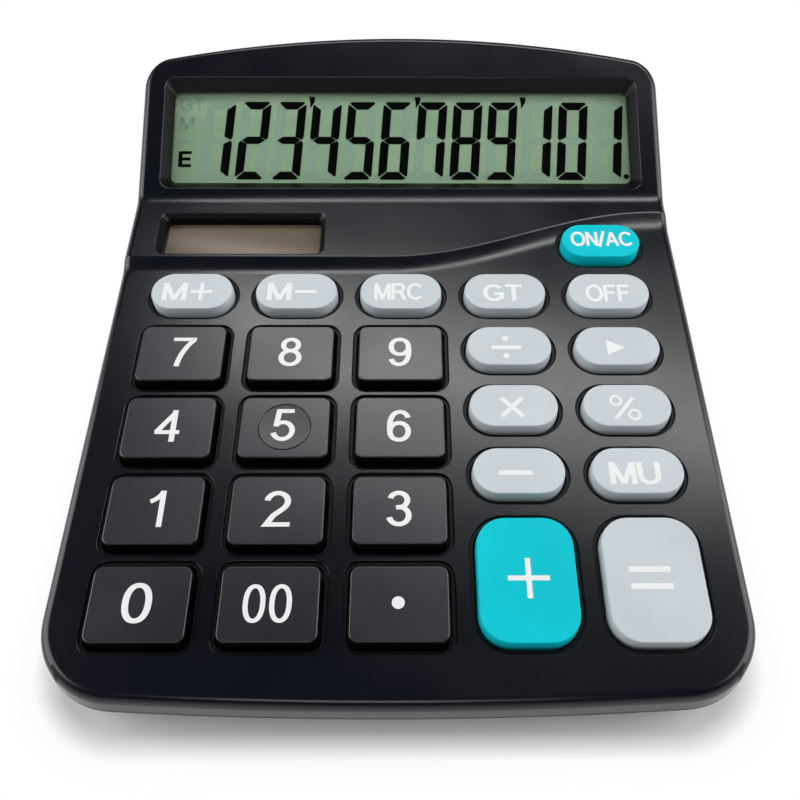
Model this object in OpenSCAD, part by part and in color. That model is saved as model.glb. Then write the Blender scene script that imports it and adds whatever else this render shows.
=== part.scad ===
// Twelve-digit desk calculator: a wedge-shaped two-part case, sprung keys over a rubber
// dome sheet, a liquid-crystal display behind a sloping window, a solar cell and one AA cell.
// Lengths are millimetres. The case stands on the XY plane, +X to the right, +Y to the back.

/* [Case] */
// Width of the case at the parting line
body_w = 118; // [112:0.5:132]
// Depth of the case from front to back at the parting line
body_d = 145; // [141:0.5:160]
// Height of the keypad's front edge above the table
front_h = 11.7; // [10.8:0.1:16]
// Slope of the keypad to the table, in degrees
keypad_tilt = 5.5; // [4:0.1:8]
// Height of the front case's rim, from the keypad down to the parting line
side_h = 4.6; // [4.2:0.1:6]
// How far the rear case's front wall leans back towards the table
hull_lean = 2; // [0.5:0.1:2.4]
// Thickness of the side walls
wall = 2; // [1.6:0.1:2.6]
// Thickness of the top plate
plate_t = 2.2; // [1.8:0.1:2.6]
// Thickness of the floor
floor_t = 2; // [1.6:0.1:2.4]
// Radius of the two front corners in plan
front_corner_r = 13.5; // [9:0.5:14]
// Radius of the two rear corners in plan
rear_corner_r = 7; // [5:0.5:10]
// Radius of the slight bow of the front edge in plan
front_bow_r = 820; // [500:10:1200]
// Radius of the bow of the rear edge in plan
rear_bow_r = 300; // [250:10:600]
// Rounding of the upper outside edge
edge_r = 1.8; // [1:0.1:2.2]
// Rounding of the lower outside edge
foot_edge_r = 0.9; // [0.5:0.1:1]
// Slope of the front case's walls, given as their lean over their height
wall_lean = 0.2; // [0:0.05:0.4]
// Groove that the rear case leaves along the parting line
parting_step = 0.3; // [0.1:0.05:0.5]

/* [Raised panel] */
// Height of the panel behind the keypad above the keypad
step_h = 0.9; // [0.5:0.1:1.2]
// Distance from the bend to the panel's edge on the left
crest_at = 16.95; // [16.1:0.05:17.6]
// How much further back the panel's edge runs on the right
swoosh_rise = 13.05; // [11:0.05:13.1]
// Left end of the panel edge's S bend
swoosh_x0 = -3; // [-8:0.5:2]
// Distance from the S bend's right end to the side of the case
swoosh_side = 3; // [3:0.5:9]
// Width of the ramp below the panel's edge on the left
ramp_left = 3.2; // [2.4:0.1:3.6]
// Width of the ramp below the panel's edge on the right
ramp_right = 4; // [3:0.1:4.4]

/* [Display] */
// Depth of the case behind the bend
head_d = 36.6; // [35.2:0.1:37]
// Angle between the display panel and the keypad, in degrees
head_tilt = 20.9; // [18:0.1:23]
// Radius of the hollow at the bend
bend_r = 8; // [4:0.5:10]
// Distance from the window to the sides of the case, at the surface
window_side = 5.2; // [5.2:0.1:9]
// Height of the window at the surface, along the panel
window_h = 27.1; // [25:0.1:27.5]
// Distance from the bend to the window's lower edge
window_at = 2.6; // [2.2:0.1:3]
// Depth of the window recess
window_depth = 2.6; // [2.4:0.1:3]
// How far the recess walls lean in at the sides
window_lean_x = 1.7; // [1:0.1:2]
// How far the recess walls lean in at the top and bottom
window_lean_y = 2.3; // [1.5:0.1:2.6]
// Corner radius of the window at the surface
window_r = 2.3; // [1.8:0.1:3]
// Thickness of the clear window
pane_t = 1; // [0.8:0.1:1.4]
// How far the clear window reaches past the opening that it covers
pane_lap = 1.3; // [1:0.1:1.5]
// Thickness of the display panel
lcd_t = 2.2; // [1.8:0.1:2.4]

/* [Solar cell] */
// Width of the solar opening at the surface
solar_w = 35.9; // [30:0.1:38]
// Height of the solar opening at the surface
solar_h = 12.2; // [10:0.1:12.4]
// Distance from the solar opening's centre to the left side of the case
solar_side = 24.65; // [24:0.05:26]
// Distance from the solar opening's centre to the bend
solar_at = 10.2; // [9.7:0.05:10.3]
// Depth of the solar cell below the panel
solar_depth = 3; // [2.9:0.1:3.6]
// Width of the bevel round the solar opening
solar_bevel = 1.1; // [0.6:0.1:1.4]
// Corner radius of the solar opening
solar_r = 2; // [1.5:0.1:3]
// Thickness of the solar cell
cell_t = 1.1; // [0.8:0.1:1.4]
// How far the cell reaches past the opening that it covers
cell_lap = 1.2; // [0.8:0.1:1.4]

/* [Keys] */
// Distance from the outer key columns to the sides of the case
side_margin = 16.4; // [15.9:0.05:17]
// Distance from the front row of number keys to the front edge
front_margin = 16.5; // [16.2:0.1:17.5]
// Distance from the power key's row to the bend
power_at = 13.42; // [13.2:0.02:14]
// Gap between the tops of the memory keys and the first row of number keys
memory_gap = 4.37; // [4:0.01:5]
// Gap between the tops of two number keys side by side
digit_gap_x = 4.95; // [4.8:0.05:6]
// Gap between the tops of two number keys in a column
digit_gap_y = 3.85; // [3.8:0.05:5]
// Corner radius of a number key
digit_r = 1.5; // [0.8:0.1:3]
// Height of a number key above the keypad
digit_rise = 1.7; // [1.5:0.1:3]
// How much shorter the top of a pill key is than that of a number key
pill_less = 3.7; // [3:0.05:4.5]
// Gap between the tops of two pill keys side by side
pill_gap_x = 4.85; // [4.7:0.05:6]
// Gap between the tops of two pill keys in a column
pill_gap_y = 4.6; // [4.4:0.05:6]
// Height of a pill key above the keypad
pill_rise = 1.9; // [1.6:0.1:3]
// How far the plus and equals keys reach in front of the number keys
big_reach = 0.28; // [0:0.02:0.6]
// Corner radius of the plus and equals keys
big_r = 5; // [3:0.1:7]
// Extra height of the power key
power_rise = 0.2; // [0:0.1:0.6]
// Rounding of the keys' upper edges
key_edge = 0.3; // [0.15:0.05:0.4]
// How far a number key's front and back lean out below its top
digit_lean = 0.4; // [0.1:0.05:0.5]
// How far the other key sides lean out below the top
key_lean = 0.05; // [0:0.05:0.2]
// Gap between a key and its opening
key_gap = 0.42; // [0.3:0.02:0.5]
// Width of the ledge round an opening
ledge_w = 0.7; // [0.4:0.05:0.7]
// Depth of the ledge below the keypad
ledge_h = 0.5; // [0.3:0.05:0.7]
// Travel of a key
key_travel = 1.5; // [1:0.1:1.8]
// Thickness of a key's top wall
key_roof = 1.5; // [1:0.1:1.6]
// Thickness of a key's side wall
key_wall = 1.2; // [0.9:0.1:1.5]
// Width of the ears that hold a key under the plate
ear_w = 1; // [0.8:0.05:1.1]
// Thickness of the ears
ear_t = 0.9; // [0.7:0.1:1]
// Distance from the five key's finger dish to the ends of its top
dish_margin = 1.6; // [1:0.1:2.6]
// Depth of the finger dish
dish_depth = 0.3; // [0.1:0.05:0.5]
// Radius of a key's plunger
plunger_r = 1.9; // [1.4:0.1:2.2]
// How far the plunger reaches below the ears
plunger_drop = 0.9; // [0.8:0.1:1]

/* [Dome sheet and board] */
// Thickness of a rubber dome's wall
dome_wall = 0.7; // [0.6:0.05:0.8]
// Radius of a dome at its foot
dome_r = 4.2; // [3.6:0.1:4.4]
// Thickness of the rubber sheet
mat_t = 0.9; // [0.7:0.1:1]
// Thickness of the circuit board
board_t = 1.2; // [1:0.1:1.4]
// Distance from the circuit board to the sides of the case
board_side = 7.5; // [7.5:0.5:8.5]
// Distance from the circuit board to the front edge of the case
board_front_gap = 7.8; // [7.5:0.1:9]
// Distance from the circuit board to the bend
board_back_gap = 4.6; // [3.5:0.1:6]

/* [Battery] */
// Diameter of the AA cell
aa_d = 14.2; // [13.7:0.1:14.5]
// Length of the AA cell's can
aa_l = 49.2; // [48.5:0.1:49.5]
// Diameter of the AA cell's button
aa_button_d = 5.5; // [4.5:0.1:5.5]
// Height of the AA cell's button
aa_button_h = 1.2; // [1:0.1:1.4]
// Room for the pressed coil spring
spring_l = 4.6; // [4:0.1:6]
// Clearance round the AA cell
aa_gap = 0.4; // [0.3:0.1:0.6]
// Thickness of the battery box walls
box_wall = 1.4; // [1.2:0.1:1.8]
// Thickness of the contact plates
contact_t = 0.4; // [0.3:0.05:0.5]
// Width of the ledge that carries the battery door
door_ledge = 1.6; // [1.2:0.1:2]
// Height of the door's upturned back lip above the table side of the case
door_lip = 6; // [5:0.5:8]
// Gap round the battery door
door_gap = 0.25; // [0.15:0.05:0.4]

/* [Feet and screws] */
// Radius of a rubber foot
foot_r = 5; // [4:0.5:6]
// How far the feet hold the case off the table
foot_h = 1; // [0.8:0.1:1.4]
// Depth of the feet's seats in the floor
foot_seat = 0.8; // [0.6:0.1:0.9]
// Distance of the feet from the sides of the case
foot_side = 14; // [13:1:20]
// Distance of the feet from the front and the back
foot_in = 13; // [12:1:18]
// Radius of a case screw's shank
screw_r = 1.2; // [1:0.05:1.3]
// Radius of a case screw's head
screw_head_r = 2.2; // [1.9:0.1:2.3]
// Height of a case screw's head
screw_head_h = 1.6; // [1.2:0.1:1.8]
// Radius of the front case's screw bosses
boss_r = 2.3; // [2:0.1:2.3]
// Depth below the keypad at which the bosses beside it meet their posts
boss_l = 9.5; // [9.2:0.1:11]
// Radius of the rear case's screw posts
post_r = 3.4; // [3.2:0.1:3.5]
// Radius of a board screw's boss
board_boss_r = 1.6; // [1.4:0.05:1.6]
// Radius of a board screw's shank
board_screw_r = 0.75; // [0.6:0.05:0.8]

/* [Hidden] */
case_colour = "#14181f";
grey_colour = "#b4b9c2";
teal_colour = "#00b4bc";

// Where the case ends, and where the home row's middle key stands
front_y = -body_d / 2;
rear_y = body_d / 2;
bend_at = (body_d - head_d) / cos(keypad_tilt);
keypad_l = bend_at - front_margin - power_at;
// Four rows of number keys and two of pill keys share the keypad's length
digit_l = (keypad_l - 3 * digit_gap_y - memory_gap - pill_gap_y + 1.5 * pill_less) / 5;
pill_l = digit_l - pill_less;
digit_pitch = digit_l + digit_gap_y;
pill_pitch = pill_l + pill_gap_y;
home_at = front_margin + 2 * digit_pitch;
home_y = front_y + home_at * cos(keypad_tilt);
home_z = front_h + home_at * sin(keypad_tilt);
bend_y = bend_at - home_at;
power_row = bend_y - power_at;
floor_z = foot_h + floor_t;
drop = plate_t / cos(keypad_tilt);
head_slope = keypad_tilt + head_tilt;

// How far joined shapes run into each other, and cuts run on past a face
overlap = 0.5;
past = 1;

// Levels below the keypad surface, measured square to it
ear_z = -plate_t;
plunger_z = ear_z - ear_t - plunger_drop;
dome_h = key_travel + dome_wall;
mat_z = plunger_z - dome_h;
board_z = mat_z - mat_t;

// Key sizes: the plus and equals keys fill the room between the last pills and the front
col_pitch = (body_w / 2 - side_margin) / 2;
digit_w = col_pitch - digit_gap_x;
pill_w = col_pitch - pill_gap_x;
big_back = power_row - 4 * pill_pitch - pill_l / 2 - pill_gap_y;
big_front = -2 * digit_pitch - digit_l / 2 - big_reach;
big_l = big_back - big_front;
big_row = (big_back + big_front) / 2;

// Half of the straight piece left between a pill's round corners
pill_flat = 0.05;
// Key kinds: top width, top length, corner radius, rise, lean along Y, colour
NUMBER = [digit_w, digit_l, digit_r, digit_rise, digit_lean, case_colour];
PILL = [pill_w, pill_l, pill_l / 2 - pill_flat, pill_rise, key_lean, grey_colour];
POWER = [pill_w, pill_l, pill_l / 2 - pill_flat, pill_rise + power_rise, key_lean, teal_colour];
PLUS = [pill_w, big_l, big_r, pill_rise, key_lean, teal_colour];
EQUALS = [pill_w, big_l, big_r, pill_rise, key_lean, grey_colour];

// Rows behind the home row; pill rows count down from the power key
function digit_row(i) = i * digit_pitch;
function pill_row(i) = power_row - i * pill_pitch;

// Every key: name, column from the middle, place along the keypad, kind
KEYS = [
    ["key_on_ac", 2, pill_row(0), POWER],
    ["key_m_plus", -2, pill_row(1), PILL],
    ["key_m_minus", -1, pill_row(1), PILL],
    ["key_mrc", 0, pill_row(1), PILL],
    ["key_gt", 1, pill_row(1), PILL],
    ["key_off", 2, pill_row(1), PILL],
    ["key_7", -2, digit_row(1), NUMBER],
    ["key_8", -1, digit_row(1), NUMBER],
    ["key_9", 0, digit_row(1), NUMBER],
    ["key_divide", 1, pill_row(2), PILL],
    ["key_backspace", 2, pill_row(2), PILL],
    ["key_4", -2, digit_row(0), NUMBER],
    ["key_5", -1, digit_row(0), NUMBER],
    ["key_6", 0, digit_row(0), NUMBER],
    ["key_multiply", 1, pill_row(3), PILL],
    ["key_percent", 2, pill_row(3), PILL],
    ["key_1", -2, digit_row(-1), NUMBER],
    ["key_2", -1, digit_row(-1), NUMBER],
    ["key_3", 0, digit_row(-1), NUMBER],
    ["key_minus", 1, pill_row(4), PILL],
    ["key_mu", 2, pill_row(4), PILL],
    ["key_0", -2, digit_row(-2), NUMBER],
    ["key_00", -1, digit_row(-2), NUMBER],
    ["key_point", 0, digit_row(-2), NUMBER],
    ["key_plus", 1, big_row, PLUS],
    ["key_equals", 2, big_row, EQUALS]
];

// ---- Shared shapes ----

// Points along an arc, both ends included
function arc(c, r, a0, a1, n) =
    [for (i = [0:n]) let (a = a0 + (a1 - a0) * i / n) [c[0] + r * cos(a), c[1] + r * sin(a)]];

// Outline of a rounded rectangle about the origin, anticlockwise
function rounded(w, l, r, n = 4) = [for (q = [0:3])
    for (p = arc([(q == 0 || q == 3 ? 1 : -1) * (w / 2 - r), (q < 2 ? 1 : -1) * (l / 2 - r)],
        r, 90 * q, 90 * q + 90, n)) p];

function at_height(outline, z) = [for (p = outline) [p[0], p[1], z]];

// The two triangles of each cell between ring j and ring j + 1 of n points
function band(j, n) = [for (i = [0:n - 1])
    let (a = j * n + i, b = j * n + (i + 1) % n)
    for (t = [[a, a + n, b + n], [a, b + n, b]]) t];

// Closed solid through a stack of rings with the same number of points, lowest first
module loft(rings) {
    n = len(rings[0]);
    last = (len(rings) - 1) * n;
    polyhedron(
        points = [for (r = rings) for (p = r) p],
        faces = concat(
            [[for (i = [0:n - 1]) i]],
            [for (j = [0:len(rings) - 2]) for (t = band(j, n)) t],
            [[for (i = [n - 1:-1:0]) last + i]]
        )
    );
}

function unit(v) = v / norm(v);

// Ring of m points about a point of a path, square to the direction v
function wire_ring(c, v, side, r, m) =
    let (u = unit(cross(v, side)), w = cross(unit(v), u))
    [for (i = [0:m - 1]) c + r * (cos(360 * i / m) * u + sin(360 * i / m) * w)];

// Round wire along a path that never runs along the direction `side`
module wire(path, side, r, m = 8) {
    n = len(path) - 1;
    loft([for (i = [0:n])
        wire_ring(path[i], path[min(i + 1, n)] - path[max(i - 1, 0)], side, r, m)]);
}

// Curve from p[0] to p[3], with a straight piece at each end
function lead(p, n = 9) = let (a = 0.9 * p[0] + 0.1 * p[1], d = 0.9 * p[3] + 0.1 * p[2])
    concat([p[0]], [for (i = [0:n]) let (t = i / n, s = 1 - t)
        s * s * s * a + 3 * s * s * t * p[1] + 3 * s * t * t * p[2] + t * t * t * d], [p[3]]);

// Keypad frame: origin on the keypad surface at the home row's middle key
module on_keypad() {
    translate([0, home_y, home_z]) rotate([keypad_tilt, 0, 0]) children();
}

// Display frame: origin on the bend, Y up the sloping display panel
module on_head() {
    on_keypad() translate([0, bend_y, step_h]) rotate([head_tilt, 0, 0]) children();
}

// A place given in the keypad frame, in the case's own frame
function keypad_point(p) = [
    p[0],
    home_y + p[1] * cos(keypad_tilt) - p[2] * sin(keypad_tilt),
    home_z + p[1] * sin(keypad_tilt) + p[2] * cos(keypad_tilt)
];
// A place given in the display frame, in the keypad frame
function head_point(p) = [
    p[0],
    bend_y + p[1] * cos(head_tilt) - p[2] * sin(head_tilt),
    step_h + p[1] * sin(head_tilt) + p[2] * cos(head_tilt)
];

// ---- Case surfaces ----

function keypad_height(y) = front_h + (y - front_y) * tan(keypad_tilt);
function parting_height(y) = keypad_height(y) - side_h / cos(keypad_tilt);

bend_line = keypad_point([0, bend_y, step_h]);
function head_height(y) = bend_line[2] + (y - bend_line[1]) * tan(head_slope);

swoosh_left = bend_y - crest_at;
swoosh_x1 = body_w / 2 - swoosh_side;
// Share of the S bend's rise that the panel's edge has reached at x
function swoosh(x) = let (t = min(max((x - swoosh_x0) / (swoosh_x1 - swoosh_x0), 0), 1))
    (1 - cos(180 * t)) / 2;
function crest(x) = keypad_point([x, swoosh_left + swoosh_rise * swoosh(x), step_h]);
function ramp_foot(x) = keypad_point([x, swoosh_left + swoosh_rise * swoosh(x)
    - ramp_left - (ramp_right - ramp_left) * swoosh(x), 0]);

// Rows that run straight across the hollow of the bend
bend_rows = 3;
bend_start = keypad_point([0, bend_y - bend_r * tan(head_tilt / 2), step_h]);
function bend_row(x, k) = let (a = keypad_tilt + head_tilt * k / bend_rows) [
    x,
    bend_start[1] + bend_r * (sin(a) - sin(keypad_tilt)),
    bend_start[2] + bend_r * (cos(keypad_tilt) - cos(a))
];

// All rows that the top surface creases or bends along, at one side of the case
function side_rows(x) =
    concat([ramp_foot(x), crest(x)], [for (k = [0:bend_rows]) bend_row(x, k)]);

// Plan outline of the case: corners and bowed ends have fixed centres, so it can be inset
front_centre_x = body_w / 2 - front_corner_r;
front_centre_y = front_y + front_bow_r
    - sqrt(pow(front_bow_r - front_corner_r, 2) - pow(front_centre_x, 2));
front_turn = atan2(front_centre_y - front_y - front_bow_r, front_centre_x);
rear_centre_x = body_w / 2 - rear_corner_r;
rear_centre_y = rear_y - rear_bow_r
    + sqrt(pow(rear_bow_r - rear_corner_r, 2) - pow(rear_centre_x, 2));
rear_turn = atan2(rear_centre_y - rear_y + rear_bow_r, rear_centre_x);
bow_n = 4;
corner_n = 6;

function front_half(inset) = arc([0, front_y + front_bow_r], front_bow_r - inset,
    -90, front_turn, bow_n);
function front_corner(inset) = arc([front_centre_x, front_centre_y],
    front_corner_r - inset, front_turn, 0, corner_n);
function rear_corner(inset) = arc([rear_centre_x, rear_centre_y],
    rear_corner_r - inset, 0, rear_turn, corner_n);
function rear_half(inset) = arc([0, rear_y - rear_bow_r], rear_bow_r - inset,
    rear_turn, 90, bow_n + 2);

function mirrored(points) = [for (i = [len(points) - 1:-1:0])
    concat([-points[i][0]], [for (j = [1:len(points[i]) - 1]) points[i][j]])];
function tail(points) = [for (i = [1:len(points) - 1]) points[i]];

// Points in front of the side rows, from the front middle to the right side
function front_points(inset) = [for (p = concat(front_half(inset), tail(front_corner(inset))))
    [p[0], p[1], keypad_height(p[1])]];
// Points behind the side rows, from the right side to the back middle
function rear_points(inset) = [for (p = concat(rear_corner(inset), tail(rear_half(inset))))
    [p[0], p[1], head_height(p[1])]];

// The outline with the height of the top surface at each point, from the front middle
function outline(inset) = concat(
    front_points(inset),
    side_rows(body_w / 2 - inset),
    rear_points(inset),
    tail(mirrored(rear_points(inset))),
    mirrored([for (p = side_rows(inset - body_w / 2)) [-p[0], p[1], p[2]]]),
    [for (p = mirrored(front_points(inset))) if (p[0] < -0.001) p]
);
front_n = len(front_points(0));
rear_n = len(rear_points(0));
row_n = bend_rows + 3;
right_row = front_n;
left_row = front_n + row_n + 2 * rear_n - 1;

// Where the foot and the crest of the ramp have points across the top
swoosh_n = 10;
swoosh_x = [for (i = [0:swoosh_n - 1]) swoosh_x0 + (swoosh_x1 - swoosh_x0) * i / swoosh_n];

// Solid between the case's top surface, lowered, and a sloping plane below the parting line
module under_top(inset, lower, round_r, steps, below) {
    turns = [for (k = [0:steps]) 90 * k / steps];
    foot_ring = [for (p = outline(inset)) [p[0], p[1], parting_height(p[1]) - below]];
    upper = [for (a = turns) [for (p = outline(inset + wall_lean + round_r * (1 - cos(a))))
        [p[0], p[1], p[2] - lower - round_r * (1 - sin(a))]]];
    rings = concat([foot_ring], upper);
    n = len(foot_ring);
    top = (len(rings) - 1) * n;
    inner = len(rings) * n;
    foot_row = [for (x = swoosh_x) ramp_foot(x) - [0, 0, lower]];
    crest_row = [for (x = swoosh_x) crest(x) - [0, 0, lower]];
    // Point numbers along a row from left to right; rows 0 and 1 are the ramp's foot and crest
    row = [for (k = [0:row_n - 1]) concat(
        [top + left_row + row_n - 1 - k],
        k < 2 ? [for (i = [0:swoosh_n - 1]) inner + k * swoosh_n + i] : [],
        [top + right_row + k]
    )];
    keypad_face = concat(
        row[0],
        [for (i = [right_row - 1:-1:0]) top + i],
        [for (i = [n - 1:-1:left_row + row_n]) top + i]
    );
    start = swoosh_n + 2 + right_row - 1;
    polyhedron(
        points = concat([for (r = rings) for (p = r) p], foot_row, crest_row),
        faces = concat(
            [[for (i = [0:n - 1]) i]],
            [for (j = [0:len(rings) - 2]) for (t = band(j, n)) t],
            [[for (i = [0:len(keypad_face) - 1]) keypad_face[(i + start) % len(keypad_face)]]],
            [for (i = [0:swoosh_n]) for (t = [
                [row[0][i], row[1][i], row[1][i + 1]],
                [row[0][i], row[1][i + 1], row[0][i + 1]]]) t],
            [concat([row[2][0], row[2][1]], [for (i = [swoosh_n + 1:-1:0]) row[1][i]])],
            [for (k = [2:row_n - 2]) [row[k][0], row[k + 1][0], row[k + 1][1], row[k][1]]],
            [concat([row[row_n - 1][0]], [for (i = [left_row - 1:-1:right_row + row_n]) top + i],
                [row[row_n - 1][1]])]
        )
    );
}

// ---- Keys ----

function skirt(kind) = [kind[0] + 2 * key_lean, kind[1] + 2 * kind[4]];
function skirt_r(kind) = kind[2] + key_lean;

module at_key(k) {
    on_keypad() translate([k[1] * col_pitch, k[2], 0]) children();
}

// Opening with a shallow ledge round it
module key_opening(kind) {
    for (step = [[key_gap, -2 * plate_t], [key_gap + ledge_w, -ledge_h]]) {
        size = skirt(kind) + 2 * step[0] * [1, 1];
        translate([0, 0, step[1]]) linear_extrude(2 * plate_t - step[1])
            polygon(rounded(size[0], size[1], skirt_r(kind) + step[0]));
    }
}

module key_cap(kind) {
    size = skirt(kind);
    // Insets and heights of the rounded edge below the top
    edge = [for (a = [0, 45, 90]) key_edge * [1 - cos(a), 1 - sin(a)]];
    loft(concat(
        [for (z = [ear_z - ear_t, 0])
            at_height(rounded(size[0], size[1], skirt_r(kind)), z)],
        [for (e = edge) at_height(rounded(kind[0] - 2 * e[0], kind[1] - 2 * e[0],
            kind[2] - e[0]), kind[3] - e[1])]
    ));
}

module key(k) {
    kind = k[3];
    size = skirt(kind);
    pocket = size - 2 * [key_wall, key_wall];
    pocket_r = max(skirt_r(kind) - key_wall, key_edge);
    color(kind[5]) at_key(k) {
        difference() {
            union() {
                key_cap(kind);
                translate([-size[0] / 2 - ear_w, -size[1] / 4, ear_z - ear_t])
                    cube([size[0] + 2 * ear_w, size[1] / 2, ear_t]);
            }
            translate([0, 0, ear_z - 2 * ear_t])
                linear_extrude(kind[3] - key_roof - ear_z + 2 * ear_t)
                    polygon(rounded(pocket[0], pocket[1], pocket_r));
            if (k[0] == "key_5") {
                dish_r = digit_l / 2 - dish_margin;
                dish_sphere = (dish_r * dish_r + dish_depth * dish_depth) / (2 * dish_depth);
                translate([0, 0, kind[3] - dish_depth + dish_sphere])
                    sphere(dish_sphere, $fn = 72);
            }
        }
        translate([0, 0, plunger_z])
            cylinder(r = plunger_r, h = kind[3] - key_roof - plunger_z + overlap, $fn = 32);
    }
}

// ---- Sizes shared by the case and what it holds ----

function rear_drop(x) = pow(x, 2) / (2 * rear_bow_r);

window_w = body_w - 2 * window_side;
function pane_size() = [window_w - 2 * (window_lean_x - pane_lap),
    window_h - 2 * (window_lean_y - pane_lap)];
lcd_margin = 0.7;
function lcd_size() = pane_size() - 2 * lcd_margin * [1, 1];
solar_x = solar_side - body_w / 2;
solar_y = bend_y - solar_at;
solar_lead_x = 4;
function cell_size() = [solar_w, solar_h] - 2 * (solar_bevel - cell_lap) * [1, 1];

// Room for the AA cell, which lies across the back of the case
room_x = (aa_l + aa_button_h + spring_l) / 2 + contact_t;
room_y = aa_d / 2 + aa_gap;
room_top = floor_z + aa_d + 2 * aa_gap;
aa_z = floor_z + aa_gap + aa_d / 2;
box_x = room_x + box_wall;
box_gap = 0.3;
aa_y = rear_y - rear_drop(box_x) - wall - wall_lean - box_gap - box_wall - room_y;
button_x = room_x - contact_t;
can_x = button_x - aa_button_h;
can_end = can_x - aa_l;
lead_z = aa_z + aa_d / 4;
lead_r = 0.5;
lead_gap = 0.3;

// Case screws: two beside the keypad and two behind the display
boss_gap = 0.15;
side_screw_x = body_w / 2 - wall - parting_step - boss_gap - boss_r;
side_screw_y = home_y + (digit_row(0.5) + pill_row(2.5)) / 2;
rear_screw_x = box_x + post_r + box_wall;
post_cover = 0.3;
rear_screw_y = rear_y - rear_drop(rear_screw_x) - parting_step - post_r - post_cover;
CASE_SCREWS = [for (s = [-1, 1]) for (p = [[side_screw_x, side_screw_y],
    [rear_screw_x, rear_screw_y]]) [s * p[0], p[1]]];
screw_grip = 5;
screw_reach = 4;
screw_gap = 0.2;
thread_gap = 0.05;
// Room left beyond a screw's tip
blind = 0.5;

// Board screws stand between the key columns
BOARD_SCREWS = [
    [-1.5 * col_pitch, (digit_row(1) + pill_row(1)) / 2],
    [0.5 * col_pitch, (digit_row(1) + pill_row(1)) / 2],
    [-0.5 * col_pitch, digit_row(0.5)],
    [1.5 * col_pitch, pill_row(2.5)],
    [-1.5 * col_pitch, digit_row(-1.5)],
    [1.5 * col_pitch, pill_row(4.6)]
];
board_grip = 3.4;
board_head_r = 1.5;
board_head_h = 1;

foot_gap = 0.1;
foot_taper = 0.4;
FEET = [[-1, -1], [1, -1], [-1, 1], [1, 1]];
function foot_place(f) = [f[0] * (body_w / 2 - foot_side), f[1] * (body_d / 2 - foot_in), 0];

// A screw's boss meets its post at the parting line, or lower where the case is thin
function joint_depth(p) = p[1] > bend_line[1] ? side_h : boss_l;
function boss_foot(p) = keypad_height(p[1]) - joint_depth(p) / cos(keypad_tilt);
// Where a case screw's head bears on the rear case
function screw_seat(p) = max(foot_h + screw_head_h, boss_foot(p) - screw_reach);

// ---- Front case ----

// Everything above a plane that lies parallel to the keypad, this deep below it
module above(depth) {
    on_keypad() translate([-body_w, -2 * body_d, -depth])
        cube([2 * body_w, 4 * body_d, 2 * body_d]);
}

// Upright cylinder on a screw's axis, from the foot of its boss upwards
module boss(p, r) {
    intersection() {
        translate([p[0], p[1], 0]) cylinder(r = r, h = body_d, $fn = 40);
        above(joint_depth(p));
    }
}

module window_cut() {
    outer = [window_w, window_h, window_r];
    inner = [window_w - 2 * window_lean_x, window_h - 2 * window_lean_y, window_r - 1];
    // The sloping walls run on past both faces of the plate
    on_head() translate([0, window_at + window_h / 2, 0]) loft([for (t = [1.2, -0.2])
        let (s = outer + (inner - outer) * t)
        at_height(rounded(s[0], s[1], s[2]), -window_depth * t)]);
}

module solar_cut() {
    w = solar_w - 2 * solar_bevel;
    h = solar_h - 2 * solar_bevel;
    on_keypad() translate([solar_x, solar_y, step_h]) {
        translate([0, 0, -solar_depth - past]) linear_extrude(solar_depth + 2 * past)
            polygon(rounded(w, h, solar_r - solar_bevel));
        loft([
            at_height(rounded(w, h, solar_r - solar_bevel), -solar_bevel),
            at_height(rounded(w + 4 * solar_bevel, h + 4 * solar_bevel,
                solar_r + solar_bevel), solar_bevel)
        ]);
    }
}

// Frames inside the case that the window pane and the solar cell are bonded to
frame_w = 0.5;
module inner_frames() {
    pane = pane_size() + 2 * frame_w * [1, 1];
    cell = cell_size() + 2 * frame_w * [1, 1];
    on_head() translate([0, window_at + window_h / 2, -window_depth])
        linear_extrude(window_depth - plate_t / 2)
            polygon(rounded(pane[0], pane[1], 2 * frame_w));
    on_keypad() translate([solar_x, solar_y, step_h - solar_depth])
        linear_extrude(solar_depth - plate_t / 2)
            polygon(rounded(cell[0], cell[1], 2 * frame_w));
}

// Rounding of the case's inside, below the top plate's edge
inner_r = 1;
module front_bosses() {
    intersection() {
        under_top(wall / 2, drop / 2, inner_r, 1, boss_l);
        union() {
            for (p = CASE_SCREWS) boss(p, boss_r);
            on_keypad() for (p = BOARD_SCREWS) translate([p[0], p[1], board_z])
                cylinder(r = board_boss_r, h = -board_z, $fn = 32);
        }
    }
}

module front_case() {
    color(case_colour) difference() {
        union() {
            difference() {
                under_top(0, 0, edge_r, 3, 0);
                under_top(wall, drop, inner_r, 1, past);
            }
            inner_frames();
            front_bosses();
        }
        for (k = KEYS) at_key(k) key_opening(k[3]);
        window_cut();
        solar_cut();
        for (p = CASE_SCREWS) translate([p[0], p[1], boss_foot(p) - past])
            cylinder(r = screw_r + thread_gap, h = past + screw_grip + blind, $fn = 32);
        on_keypad() for (p = BOARD_SCREWS) translate([p[0], p[1], board_z - past])
            cylinder(r = board_screw_r + thread_gap, h = past + board_grip + blind, $fn = 24);
    }
}

// ---- Rear case ----

// Outline low on the rear case: its front has moved back and its rear edge hasn't
function hull(inset) = [for (p = outline(inset))
    [p[0], p[1] + hull_lean * (rear_y - p[1]) / body_d]];

module rear_block() {
    loft(concat(
        [for (a = [0, 45, 90])
            at_height(hull(parting_step + foot_edge_r * (1 - sin(a))),
                foot_h + foot_edge_r * (1 - cos(a)))],
        [[for (p = outline(parting_step)) [p[0], p[1], parting_height(p[1])]]]
    ));
}

module rear_room() {
    inset = wall + parting_step;
    loft([
        at_height(hull(inset), floor_z),
        [for (p = outline(inset)) [p[0], p[1], parting_height(p[1])]],
        [for (p = outline(inset)) [p[0], p[1], parting_height(p[1]) + past]]
    ]);
}

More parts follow.
